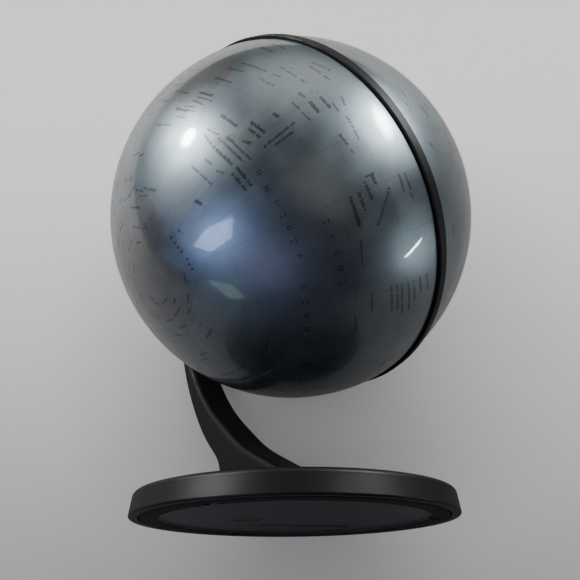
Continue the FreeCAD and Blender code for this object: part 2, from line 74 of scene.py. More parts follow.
# ------------------------------------------------------------------ coast lines, lon and lat in degrees
LAND = {
    "australia": [(113.7, -22.5), (114.2, -26.3), (115.0, -30.0), (115.7, -31.8), (115.1, -34.3), (118.0, -35.0), (120.0, -33.9), (123.5, -33.9), (126.0, -32.3), (129.0, -31.6), (131.2, -31.5), (133.5, -32.1), (135.2, -34.6), (136.0, -34.9), (137.5, -33.0), (137.9, -33.6), (136.9, -35.2), (138.4, -34.7), (138.2, -35.6), (139.6, -36.2), (140.0, -37.9), (142.4, -38.4), (144.6, -38.2), (146.4, -39.1), (147.8, -38.0), (150.0, -37.4), (150.9, -34.5), (152.5, -32.2), (153.1, -30.5), (153.6, -28.2), (153.1, -25.9), (151.5, -24.0), (150.7, -22.6), (149.2, -21.1), (147.6, -19.7), (146.2, -18.9), (145.4, -15.0), (143.8, -14.4), (143.5, -12.8), (142.5, -10.8), (141.7, -12.9), (141.6, -15.1), (140.8, -17.5), (139.2, -17.4), (137.5, -16.2), (135.5, -15.0), (136.8, -12.3), (134.5, -12.1), (132.6, -11.5), (131.0, -12.3), (130.0, -13.6), (129.5, -14.9), (128.0, -14.8), (126.0, -14.0), (124.4, -15.5), (123.6, -17.4), (122.2, -17.2), (121.8, -18.6), (119.5, -20.0), (116.8, -20.6), (114.7, -21.8)],
    "tasmania": [(144.7, -40.8), (146.5, -41.1), (148.3, -40.9), (148.3, -42.2), (147.0, -43.6), (145.6, -42.6)],
    "nz_south": [(172.7, -40.6), (174.2, -41.6), (172.9, -43.2), (171.3, -44.3), (170.6, -45.9), (168.4, -46.6), (166.6, -46.0), (168.2, -44.1), (170.6, -42.8), (171.6, -41.8)],
    "nz_north": [(172.7, -34.5), (174.6, -36.0), (175.6, -36.7), (176.2, -37.6), (178.4, -37.7), (177.8, -39.2), (176.9, -40.2), (175.2, -41.6), (174.9, -41.2), (175.2, -40.2), (173.8, -39.4), (174.7, -38.6), (174.7, -37.0), (173.9, -36.0)],
    "new_guinea": [(131.0, -0.8), (134.1, -0.8), (134.9, -3.2), (137.8, -1.5), (141.0, -2.6), (144.6, -3.9), (147.3, -6.0), (146.9, -6.8), (148.0, -8.2), (150.7, -10.5), (147.5, -10.0), (146.0, -8.4), (143.6, -8.4), (142.6, -9.3), (139.0, -8.1), (138.5, -6.5), (135.5, -4.5), (132.9, -4.1), (132.8, -2.8), (131.2, -1.6)],
    "borneo": [(109.0, 1.6), (110.9, 1.6), (113.0, 3.2), (115.2, 5.0), (116.8, 6.9), (119.0, 5.2), (117.9, 4.0), (118.9, 1.1), (117.4, 0.4), (116.5, -1.6), (116.0, -3.9), (114.5, -3.9), (111.8, -3.4), (110.1, -1.6), (109.1, 0.2)],
    "sumatra": [(95.3, 5.6), (97.6, 5.2), (100.4, 2.9), (103.5, 0.3), (104.5, -1.9), (105.9, -3.3), (105.8, -5.8), (104.4, -5.6), (102.2, -3.7), (100.4, -1.2), (98.8, 1.6), (97.0, 3.3)],
    "java": [(105.2, -6.8), (106.7, -6.0), (108.5, -6.7), (110.8, -6.4), (112.7, -6.9), (114.5, -7.8), (114.4, -8.7), (111.0, -8.2), (108.3, -7.8), (106.4, -7.4)],
    "sulawesi": [(119.0, -3.5), (118.8, -2.8), (119.8, 0.2), (120.9, 1.3), (123.2, 0.9), (125.0, 1.5), (124.4, 0.4), (121.1, 0.5), (120.1, -0.9), (121.5, -0.9), (123.3, -0.9), (121.9, -1.9), (122.4, -3.2), (122.8, -4.5), (121.5, -4.6), (121.0, -2.8), (120.3, -3.0), (120.4, -5.6), (119.5, -5.4)],
    "luzon": [(120.4, 16.2), (120.7, 18.5), (122.2, 18.4), (121.6, 16.0), (122.2, 14.2), (124.1, 12.9), (122.5, 13.5), (120.7, 13.9), (120.1, 15.0)],
    "mindanao": [(122.0, 7.0), (123.4, 8.6), (125.5, 9.8), (126.5, 7.5), (125.5, 5.8), (124.1, 6.6), (123.2, 7.4)],
    "honshu": [(130.9, 34.1), (132.5, 35.4), (135.9, 35.6), (137.0, 37.2), (138.7, 37.9), (140.0, 39.6), (140.4, 41.1), (141.6, 41.2), (142.0, 39.5), (141.0, 38.2), (140.9, 35.8), (139.0, 34.9), (136.8, 34.4), (135.6, 33.5), (133.8, 34.4), (132.0, 33.9)],
    "hokkaido": [(140.2, 42.0), (140.4, 43.3), (141.8, 45.4), (143.4, 44.2), (145.3, 44.0), (145.4, 43.2), (143.2, 42.0), (141.0, 42.5)],
    "kyushu": [(129.9, 33.4), (131.8, 33.6), (134.5, 34.2), (134.2, 33.3), (132.7, 32.8), (131.4, 31.4), (130.3, 31.2), (129.9, 32.6)],
    "taiwan": [(120.2, 23.0), (121.5, 25.2), (121.9, 24.9), (120.8, 22.0)],
    "hainan": [(108.8, 19.2), (110.5, 20.1), (110.9, 19.5), (109.4, 18.2)],
    "sri_lanka": [(79.8, 7.5), (80.2, 9.7), (81.8, 7.6), (81.0, 6.1), (80.1, 6.1)],
    "madagascar": [(49.3, -12.0), (50.4, -15.6), (49.4, -18.0), (47.2, -24.9), (45.3, -25.5), (43.5, -23.3), (44.4, -20.0), (44.2, -16.4), (46.3, -15.7), (48.0, -13.6)],
    "sakhalin": [(142.0, 46.0), (142.1, 49.0), (142.0, 51.8), (142.7, 54.3), (143.3, 52.3), (144.5, 49.1), (142.9, 49.1), (143.4, 46.8)],
    "great_britain": [(-5.7, 50.1), (-3.0, 51.4), (-5.2, 51.8), (-4.3, 53.2), (-3.0, 53.9), (-5.0, 54.9), (-5.6, 56.3), (-5.1, 58.5), (-3.0, 58.6), (-2.0, 57.5), (-2.8, 56.2), (-1.6, 55.2), (0.2, 53.2), (1.7, 52.7), (1.4, 51.2), (-1.3, 50.7), (-3.5, 50.2)],
    "ireland": [(-10.0, 51.6), (-8.5, 51.8), (-6.3, 52.3), (-6.0, 54.4), (-7.5, 55.3), (-9.9, 54.2), (-9.4, 53.1)],
    "iceland": [(-24.0, 65.5), (-22.4, 66.4), (-20.3, 65.7), (-16.2, 66.5), (-13.6, 65.1), (-18.7, 63.4), (-22.6, 63.9), (-22.2, 64.8)],
    "greenland": [(-73.0, 78.4), (-66.0, 80.9), (-50.0, 82.5), (-32.0, 83.6), (-20.0, 82.2), (-18.0, 80.0), (-20.0, 76.5), (-22.0, 72.5), (-25.0, 70.0), (-32.0, 68.0), (-40.0, 65.0), (-43.5, 60.0), (-48.0, 61.0), (-52.0, 65.0), (-53.8, 67.5), (-51.0, 69.9), (-55.0, 72.0), (-60.0, 76.0), (-68.0, 76.0)],
    "svalbard": [(11.0, 79.0), (16.0, 80.0), (26.0, 80.2), (21.0, 78.2), (16.5, 76.6), (13.5, 78.0)],
    "novaya": [(51.5, 71.6), (55.5, 73.5), (60.0, 76.0), (68.5, 76.9), (66.0, 75.9), (58.0, 73.8), (57.5, 70.7), (53.5, 70.9)],
    "north_america": [(-168.1, 65.6), (-166.5, 68.3), (-163.0, 69.7), (-156.6, 71.3), (-150.0, 70.5), (-141.0, 69.6), (-134.5, 69.5), (-128.0, 70.2), (-124.5, 69.5), (-115.0, 68.3), (-109.0, 68.0), (-102.0, 67.8), (-96.0, 68.2), (-94.5, 71.9), (-91.5, 69.6), (-88.0, 68.5), (-84.5, 69.5), (-82.0, 68.5), (-81.5, 67.3), (-87.0, 66.0), (-87.0, 64.5), (-93.0, 62.2), (-94.7, 60.0), (-94.5, 58.7), (-92.5, 57.0), (-88.0, 56.5), (-82.3, 55.1), (-82.2, 52.9), (-79.5, 51.5), (-79.0, 54.0), (-77.0, 56.5), (-78.5, 58.9), (-77.5, 62.4), (-73.5, 62.4), (-69.6, 60.9), (-66.5, 58.8), (-64.5, 60.3), (-61.5, 57.0), (-57.3, 54.6), (-55.8, 52.3), (-60.0, 50.2), (-66.5, 50.2), (-69.0, 48.5), (-65.0, 49.2), (-64.5, 47.2), (-64.5, 46.0), (-61.0, 45.5), (-66.0, 43.6), (-65.5, 45.0), (-67.5, 44.6), (-70.3, 43.4), (-70.8, 42.2), (-70.0, 41.6), (-72.8, 41.1), (-74.0, 40.5), (-75.5, 38.0), (-76.0, 36.5), (-78.0, 33.9), (-81.0, 31.8), (-81.3, 29.5), (-80.1, 26.5), (-81.0, 25.2), (-82.7, 27.8), (-84.0, 30.0), (-87.0, 30.3), (-89.5, 30.2), (-90.5, 29.2), (-93.8, 29.7), (-97.2, 27.8), (-97.7, 24.5), (-97.4, 21.5), (-96.0, 19.1), (-94.2, 18.2), (-91.5, 18.5), (-90.4, 20.9), (-87.2, 21.5), (-88.0, 18.3), (-88.7, 15.9), (-85.5, 15.9), (-83.3, 14.9), (-83.7, 11.0), (-81.8, 9.0), (-79.6, 9.5), (-77.4, 8.6), (-78.3, 7.4), (-80.2, 7.3), (-83.0, 8.3), (-85.8, 10.3), (-87.6, 12.9), (-91.5, 14.0), (-94.7, 16.2), (-98.5, 16.4), (-102.0, 18.0), (-105.5, 20.2), (-106.8, 23.6), (-109.5, 26.5), (-112.7, 30.0), (-114.8, 31.7), (-113.0, 28.5), (-110.8, 25.0), (-109.5, 23.0), (-112.2, 25.3), (-115.0, 28.5), (-117.1, 32.5), (-120.6, 34.5), (-122.5, 37.5), (-124.3, 40.3), (-124.0, 44.5), (-124.6, 48.3), (-122.5, 48.8), (-127.5, 51.5), (-130.5, 54.5), (-134.0, 58.0), (-139.5, 59.7), (-146.0, 60.8), (-151.5, 59.3), (-154.0, 58.5), (-158.5, 56.0), (-164.5, 54.6), (-160.0, 57.5), (-157.5, 58.8), (-162.0, 59.0), (-165.5, 61.5), (-164.5, 63.2), (-161.0, 64.4)],
    "baffin": [(-85.0, 73.5), (-80.0, 73.7), (-75.0, 72.0), (-68.0, 70.3), (-62.0, 66.8), (-65.0, 64.0), (-68.5, 62.5), (-77.5, 64.5), (-73.0, 67.5), (-78.5, 70.0), (-88.0, 70.5)],
    "victoria": [(-117.0, 70.5), (-112.0, 73.0), (-105.5, 72.8), (-101.5, 69.5), (-108.0, 68.8), (-115.5, 69.2)],
    "ellesmere": [(-90.0, 76.5), (-91.5, 80.0), (-83.0, 82.8), (-65.0, 82.8), (-72.0, 79.5), (-79.0, 76.3)],
    "banks": [(-125.0, 72.0), (-122.0, 74.3), (-116.0, 73.0), (-122.5, 71.2)],
    "newfoundland": [(-59.3, 47.7), (-55.8, 51.5), (-53.0, 47.0), (-56.0, 46.9)],
    "cuba": [(-84.5, 22.0), (-81.0, 23.1), (-77.0, 21.5), (-74.4, 20.2), (-77.5, 19.9), (-78.2, 20.8), (-81.8, 22.2)],
    "hispaniola": [(-74.4, 18.4), (-73.2, 19.8), (-69.9, 19.7), (-68.4, 18.6), (-71.5, 17.7)],
    "south_america": [(-77.4, 8.6), (-75.5, 10.6), (-71.8, 12.3), (-71.5, 10.9), (-68.0, 11.5), (-64.5, 10.2), (-61.9, 10.7), (-60.5, 8.5), (-57.2, 6.0), (-54.0, 5.8), (-51.6, 4.2), (-50.0, 1.0), (-48.0, -0.7), (-44.5, -2.6), (-41.0, -2.9), (-37.5, -4.6), (-35.2, -5.5), (-34.9, -8.2), (-37.2, -11.5), (-39.0, -14.5), (-39.2, -17.8), (-41.0, -21.9), (-44.5, -23.2), (-48.0, -25.5), (-48.6, -28.3), (-50.8, -31.0), (-53.5, -34.0), (-56.5, -34.8), (-58.4, -34.3), (-57.0, -36.3), (-58.0, -38.2), (-62.2, -38.9), (-62.3, -40.8), (-65.0, -41.0), (-63.7, -42.6), (-65.5, -45.0), (-67.5, -46.2), (-65.8, -47.8), (-68.0, -50.2), (-69.0, -52.3), (-65.2, -54.7), (-68.5, -55.5), (-72.0, -54.0), (-74.8, -51.5), (-75.5, -48.0), (-74.0, -44.0), (-73.6, -41.0), (-73.4, -37.2), (-71.6, -33.0), (-71.4, -29.5), (-70.5, -25.5), (-70.2, -20.0), (-71.5, -17.4), (-76.2, -14.0), (-79.0, -8.2), (-81.2, -5.8), (-80.0, -3.2), (-80.8, -1.0), (-79.0, 1.7), (-77.3, 4.0), (-77.8, 7.0)],
    "africa": [(-5.9, 35.8), (-2.0, 35.1), (3.0, 36.9), (10.0, 37.3), (11.0, 34.0), (15.3, 32.3), (20.0, 31.0), (21.8, 32.9), (25.0, 31.6), (31.0, 31.5), (34.2, 31.3), (32.6, 29.9), (34.0, 27.0), (36.9, 22.0), (38.5, 18.2), (41.0, 15.0), (43.2, 12.0), (44.0, 10.5), (51.2, 11.9), (49.0, 7.0), (46.0, 2.5), (41.5, -1.9), (39.3, -5.0), (39.6, -9.0), (40.6, -14.8), (36.5, -18.5), (35.0, -21.5), (35.5, -24.0), (32.8, -26.0), (32.0, -29.0), (28.5, -32.9), (25.5, -34.0), (20.0, -34.8), (18.3, -33.5), (17.0, -29.0), (14.6, -23.5), (12.0, -17.5), (13.6, -12.5), (12.3, -6.1), (9.3, -1.5), (9.6, 2.5), (8.5, 4.6), (5.9, 4.3), (4.2, 6.3), (1.0, 5.9), (-2.0, 4.8), (-7.6, 4.4), (-10.8, 6.6), (-13.2, 8.8), (-15.0, 11.0), (-17.5, 14.7), (-16.3, 18.0), (-17.0, 21.0), (-14.8, 25.5), (-11.5, 28.2), (-9.8, 30.5), (-8.5, 33.3)],
    "eurasia": [(-5.6, 36.0), (-2.2, 36.7), (-0.3, 38.7), (0.5, 40.7), (3.1, 41.9), (4.5, 43.4), (8.0, 43.9), (10.3, 43.5), (12.3, 41.7), (15.6, 40.1), (16.0, 38.0), (17.1, 39.0), (16.9, 40.4), (18.4, 40.2), (16.2, 41.7), (13.6, 43.6), (12.4, 44.9), (13.7, 45.6), (15.2, 44.2), (19.4, 41.9), (19.5, 40.0), (21.3, 37.8), (22.7, 36.6), (24.0, 37.8), (22.9, 40.4), (26.0, 40.8), (28.9, 41.1), (28.0, 43.0), (30.5, 46.0), (33.5, 46.1), (33.5, 44.5), (36.5, 45.3), (35.3, 46.4), (39.0, 47.2), (37.5, 45.0), (41.5, 42.2), (38.5, 40.9), (35.0, 42.0), (31.0, 41.2), (27.0, 40.4), (26.3, 38.5), (28.0, 36.7), (30.7, 36.6), (33.0, 36.1), (36.0, 36.6), (35.0, 32.8), (34.2, 31.3), (34.9, 29.5), (35.2, 28.0), (38.8, 22.5), (42.5, 16.8), (43.5, 12.8), (48.0, 14.0), (52.2, 15.8), (55.5, 17.8), (59.8, 22.4), (56.5, 24.3), (56.2, 26.2), (54.0, 24.2), (51.5, 24.6), (50.2, 26.4), (48.0, 29.8), (50.0, 30.2), (51.8, 27.9), (56.8, 27.1), (58.8, 25.5), (61.7, 25.1), (66.5, 25.3), (68.5, 23.3), (70.5, 20.9), (72.7, 19.5), (73.5, 15.5), (76.4, 9.8), (77.6, 8.1), (79.8, 10.3), (80.2, 13.5), (82.3, 16.6), (86.5, 20.0), (89.0, 21.8), (91.8, 22.4), (94.3, 18.5), (94.3, 16.1), (97.2, 16.8), (98.6, 12.0), (98.3, 8.0), (100.4, 5.8), (103.5, 1.3), (103.4, 4.5), (100.3, 8.3), (99.3, 11.0), (100.6, 13.5), (102.5, 12.2), (105.0, 8.7), (109.2, 11.5), (108.8, 15.3), (105.8, 19.0), (108.5, 21.7), (113.5, 22.2), (117.5, 23.8), (120.0, 26.8), (121.9, 30.0), (119.5, 34.8), (122.5, 37.0), (118.0, 38.8), (121.5, 40.8), (121.3, 38.9), (125.3, 39.6), (126.5, 36.5), (126.4, 34.5), (129.2, 35.3), (127.6, 39.8), (130.7, 42.3), (135.5, 43.8), (140.2, 48.5), (141.3, 52.8), (138.0, 54.0), (137.0, 54.0), (142.5, 59.2), (150.0, 59.6), (155.5, 59.4), (163.0, 61.6), (156.8, 57.0), (156.5, 51.2), (162.0, 55.0), (163.0, 58.0), (170.5, 60.2), (179.0, 62.5), (186.5, 64.5), (190.2, 66.0), (180.0, 69.0), (170.0, 69.8), (160.0, 69.7), (150.0, 71.5), (140.0, 72.6), (129.0, 71.5), (126.5, 73.4), (113.5, 73.8), (104.0, 77.6), (98.0, 76.0), (86.5, 74.0), (80.5, 72.5), (73.0, 71.5), (72.8, 68.0), (69.0, 68.8), (67.0, 71.5), (66.5, 69.0), (60.0, 68.5), (54.0, 68.5), (46.0, 68.2), (43.5, 66.3), (39.8, 65.0), (37.0, 63.8), (33.0, 66.6), (41.0, 66.3), (39.0, 67.9), (31.0, 69.8), (25.5, 71.0), (19.0, 69.8), (14.5, 68.2), (12.0, 65.2), (9.5, 63.5), (5.0, 61.5), (5.5, 59.0), (8.0, 58.1), (10.7, 59.3), (11.5, 58.3), (12.8, 55.5), (14.3, 55.5), (16.5, 56.8), (18.8, 59.8), (17.2, 61.5), (21.3, 64.5), (24.5, 65.8), (25.3, 65.0), (21.5, 62.7), (21.5, 60.8), (28.0, 60.6), (30.0, 59.9), (23.5, 59.2), (24.3, 57.5), (21.2, 57.0), (20.8, 55.3), (19.0, 54.4), (14.2, 54.0), (10.9, 54.2), (10.5, 57.6), (8.2, 56.8), (8.8, 54.2), (6.8, 53.5), (4.3, 52.0), (1.6, 50.6), (-1.5, 49.6), (-1.9, 48.7), (-4.7, 48.4), (-1.3, 46.0), (-1.7, 43.4), (-8.2, 43.7), (-9.4, 38.8), (-8.9, 37.1), (-6.5, 36.9)],
}
ANTARCTIC = [(-180, -79.3), (-170, -79.6), (-164, -78.6), (-158, -77.5), (-150, -76.4), (-146, -75.6), (-136, -74.8), (-127, -74.4), (-115, -74.5), (-110, -75.2), (-101, -74.8), (-100, -72.8), (-90, -73.0), (-80, -73.2), (-72, -73.2), (-68, -71.0), (-67.5, -68.0), (-65, -66.0), (-61, -64.2), (-57, -63.3), (-58, -64.5), (-61, -66.5), (-62, -69.0), (-61, -72.0), (-61, -74.5), (-55, -76.5), (-46, -77.8), (-40, -78.0), (-35, -77.8), (-28, -76.2), (-20, -73.8), (-12, -71.8), (0, -70.0), (10, -70.0), (20, -70.0), (30, -69.5), (38, -69.8), (45, -67.8), (54, -66.2), (60, -67.4), (68, -68.0), (70, -70.0), (74, -69.8), (80, -68.0), (88, -66.8), (95, -66.4), (103, -65.8), (110, -66.4), (118, -67.0), (128, -66.6), (136, -66.3), (145, -67.0), (153, -68.8), (162, -70.3), (170, -71.5), (170, -73.5), (165, -75.0), (163.5, -77.5), (167, -78.4), (180, -79.3)]
CASPIAN = [(49.0, 46.0), (53.0, 46.8), (53.0, 42.0), (54.0, 37.0), (50.0, 37.5), (49.5, 40.5), (47.5, 43.0)]
ISLETS = [(165.5, -21.3, 0.9), (178.0, -17.8, 0.7), (179.2, -16.6, 0.5), (-155.5, 19.6, 0.6), (-157.9, 21.4, 0.35), (167.0, -15.3, 0.5), (168.4, -17.6, 0.4), (160.2, -9.5, 0.7), (157.2, -8.0, 0.5), (155.2, -6.3, 0.8), (151.5, -4.5, 0.7), (152.0, -3.2, 0.4), (150.0, -5.9, 1.0), (-172.2, -13.6, 0.35), (-175.2, -21.1, 0.25), (-149.5, -17.6, 0.35), (-70.0, -54.2, 0.9), (-59.0, -51.7, 0.9), (-37.0, -54.3, 0.5), (69.5, -49.3, 0.7), (-91.0, -0.6, 0.6), (123.5, 10.5, 0.8), (125.0, 11.3, 0.7), (128.0, 0.8, 0.8), (129.0, -3.2, 0.9), (120.5, -8.6, 0.8), (124.3, -9.4, 0.9), (166.0, -50.7, 0.3), (-176.5, -44.0, 0.3), (9.0, 40.1, 0.9), (9.2, 42.2, 0.6), (14.2, 37.5, 1.0), (24.9, 35.2, 0.8), (33.2, 35.1, 0.7), (-77.3, 18.1, 0.6), (-66.5, 18.2, 0.5), (-61.3, 10.4, 0.4), (-15.6, 28.2, 0.5), (55.5, -21.1, 0.3), (57.6, -20.3, 0.3), (144.8, 13.4, 0.2), (134.5, 7.5, 0.2), (-109.4, -27.1, 0.2), (158.2, 6.9, 0.2), (179.0, 51.5, 0.5), (-169.0, 53.0, 0.5), (-153.5, 57.4, 0.9), (-132.2, 53.2, 0.9), (-126.5, 49.8, 1.0), (-75.5, 20.4, 0.3), (-78.0, 24.5, 0.6), (98.5, 79.3, 1.2), (143.5, 75.2, 1.3), (-95.0, 76.0, 1.4), (-98.0, 73.0, 1.3), (-93.0, 79.5, 1.4), (-110.0, 76.5, 1.3), (-63.0, 49.5, 0.6), (46.5, -12.2, 0.3), (127.0, -3.4, 0.6), (107.8, -2.8, 0.9), (115.1, -8.4, 0.5), (117.5, -8.7, 0.7)]

rng = np.random.default_rng(20)


def fractal(pts, levels, rough, closed=True):
    """Breaks each run of a coast line into smaller bends."""
    P = np.array(pts, float)
    if closed:
        P = np.vstack([P, P[:1]])
    for _ in range(levels):
        A, B = P[:-1], P[1:]
        M = (A + B) / 2.0
        d = B - A
        c = np.cos(np.radians(np.clip(M[:, 1], -80, 80)))
        L = np.hypot(d[:, 0] * c, d[:, 1])
        n = np.stack([-d[:, 1] / np.maximum(c, 0.15), d[:, 0] * c], 1)
        n /= np.maximum(np.hypot(n[:, 0] * c, n[:, 1]), 1e-9)[:, None]
        amp = rng.uniform(-1, 1, len(M)) * rough * np.minimum(L, 6.0)
        M = M + n * amp[:, None]
        out = np.empty((len(P) + len(M), 2))
        out[0::2] = P
        out[1::2] = M
        P = out
    return P


COASTS = []          # (closed outline in lon/lat, kind)
for nm, pts in LAND.items():
    COASTS.append((fractal(pts, 2, 0.13), "land"))
COASTS.append((fractal(CASPIAN, 2, 0.1), "water"))
for lon_, lat_, r_ in ISLETS:
    m = 9
    a = np.linspace(0, 2 * math.pi, m, endpoint=False)
    rr = r_ * rng.uniform(0.6, 1.25, m)
    c = max(math.cos(math.radians(lat_)), 0.2)
    pts = np.stack([lon_ + rr * np.cos(a) / c, lat_ + rr * np.sin(a)], 1)
    COASTS.append((np.vstack([pts, pts[:1]]), "land"))
ant = fractal(ANTARCTIC, 2, 0.12, closed=False)
ANT_CLOSED = np.vstack([ant, [[180, -95], [-180, -95]], ant[:1]])


def inside(lon, lat, poly):
    """Even-odd test of many points against one closed outline."""
    res = np.zeros(len(lon), bool)
    x0, y0 = poly[:-1, 0], poly[:-1, 1]
    x1, y1 = poly[1:, 0], poly[1:, 1]
    lo_, hi_ = poly.min(0), poly.max(0)
    for shift in (-360.0, 0.0, 360.0):
        lx = lon + shift
        cand = np.where((lx >= lo_[0]) & (lx <= hi_[0]) & (lat >= lo_[1]) & (lat <= hi_[1]))[0]
        if not len(cand):
            continue
        for s in range(0, len(cand), 4000):
            idx = cand[s:s + 4000]
            X, Y = lx[idx][:, None], lat[idx][:, None]
            cr = ((y0 > Y) != (y1 > Y)) & (X < (x1 - x0) * (Y - y0) / np.where(y1 == y0, 1e-12, y1 - y0) + x0)
            res[idx] ^= (cr.sum(1) % 2).astype(bool)
    return res


def coast_distance(lon, lat, reach=4.5):
    """Signed distance to the nearest coast, millimetres on the ball, positive on land, cut off at the reach."""
    land = np.zeros(len(lon), bool)
    for poly, kind in COASTS:
        i = inside(lon, lat, poly)
        land = (land & ~i) if kind == "water" else (land | i)
    land |= inside(lon, lat, ANT_CLOSED)
    P = unit(lon, lat) * R * 1000.0
    best = np.full(len(lon), reach)
    segs = [poly for poly, _ in COASTS] + [ant]
    for poly in segs:
        U = unit(poly[:, 0], poly[:, 1]) * R * 1000.0
        c0 = U.mean(0)
        rad = np.linalg.norm(U - c0, axis=1).max() + reach
        cand0 = np.where(((P - c0) ** 2).sum(1) < rad * rad)[0]
        if not len(cand0):
            continue
        for s in range(0, len(U) - 1, 6):
            V = U[s:s + 7]
            if len(V) < 2:
                continue
            cc = V.mean(0)
            rr = np.linalg.norm(V - cc, axis=1).max() + reach
            cand = cand0[((P[cand0] - cc) ** 2).sum(1) < rr * rr]
            if not len(cand):
                continue
            A, D = V[:-1], V[1:] - V[:-1]
            DD = np.maximum((D * D).sum(1), 1e-9)
            W = P[cand][:, None, :] - A[None]
            t = np.clip((W * D[None]).sum(2) / DD[None], 0, 1)
            dist = np.sqrt(((W - t[..., None] * D[None]) ** 2).sum(2)).min(1)
            best[cand] = np.minimum(best[cand], dist)
    return np.where(land, best, -best)


# ------------------------------------------------------------------ node helpers
def new_mat(name):
    m = bpy.data.materials.new(name)
    m.use_nodes = True
    nt = m.node_tree
    nt.nodes.clear()
    out = nt.nodes.new("ShaderNodeOutputMaterial")
    return m, nt, out


def node(nt, kind, **props):
    n = nt.nodes.new(kind)
    ins = props.pop("ins", {})
    for k_, v_ in props.items():
        setattr(n, k_, v_)
    for k_, v_ in ins.items():
        n.inputs[k_].default_value = v_
    return n


def math_(nt, op, a, b=None, c=None, clamp=False):
    n = nt.nodes.new("ShaderNodeMath")
    n.operation = op
    n.use_clamp = clamp
    for i, v_ in enumerate((a, b, c)):
        if v_ is None:
            continue
        if isinstance(v_, (int, float)):
            n.inputs[i].default_value = v_
        else:
            nt.links.new(v_, n.inputs[i])
    return n.outputs[0]


def ramp(nt, fac, stops, interp="LINEAR"):
    n = nt.nodes.new("ShaderNodeValToRGB")
    n.color_ramp.interpolation = interp
    els = n.color_ramp.elements
    while len(els) > 1:
        els.remove(els[-1])
    els[0].position, els[0].color = stops[0][0], (*stops[0][1], 1.0) if len(stops[0][1]) == 3 else stops[0][1]
    for p, c_ in stops[1:]:
        e = els.new(p)
        e.color = (*c_, 1.0) if len(c_) == 3 else c_
    nt.links.new(fac, n.inputs[0])
    return n.outputs[0]


def mixc(nt, fac, a, b, blend="MIX"):
    n = nt.nodes.new("ShaderNodeMix")
    n.data_type = "RGBA"
    n.blend_type = blend
    for sock, v_ in ((n.inputs[0], fac), (n.inputs[6], a), (n.inputs[7], b)):
        if isinstance(v_, (int, float)):
            sock.default_value = v_
        elif isinstance(v_, tuple):
            sock.default_value = (*v_, 1.0) if len(v_) == 3 else v_
        else:
            nt.links.new(v_, sock)
    return n.outputs[2]


def obj_coords(nt, scale=1000.0):
    """Object coordinates in millimetres."""
    tc = nt.nodes.new("ShaderNodeTexCoord")
    mp = nt.nodes.new("ShaderNodeVectorMath")
    mp.operation = "SCALE"
    mp.inputs[3].default_value = scale
    nt.links.new(tc.outputs["Object"], mp.inputs[0])
    return mp.outputs[0]


def noise(nt, vec, scale, detail=2.0, rough=0.5, dist=0.0):
    n = nt.nodes.new("ShaderNodeTexNoise")
    n.inputs["Scale"].default_value = scale
    n.inputs["Detail"].default_value = detail
    n.inputs["Roughness"].default_value = rough
    n.inputs["Distortion"].default_value = dist
    nt.links.new(vec, n.inputs["Vector"])
    return n.outputs["Fac"]


def bump(nt, height, strength, dist_mm, normal=None):
    n = nt.nodes.new("ShaderNodeBump")
    n.inputs["Strength"].default_value = strength
    n.inputs["Distance"].default_value = dist_mm / 1000.0
    nt.links.new(height, n.inputs["Height"])
    if normal is not None:
        nt.links.new(normal, n.inputs["Normal"])
    return n.outputs[0]


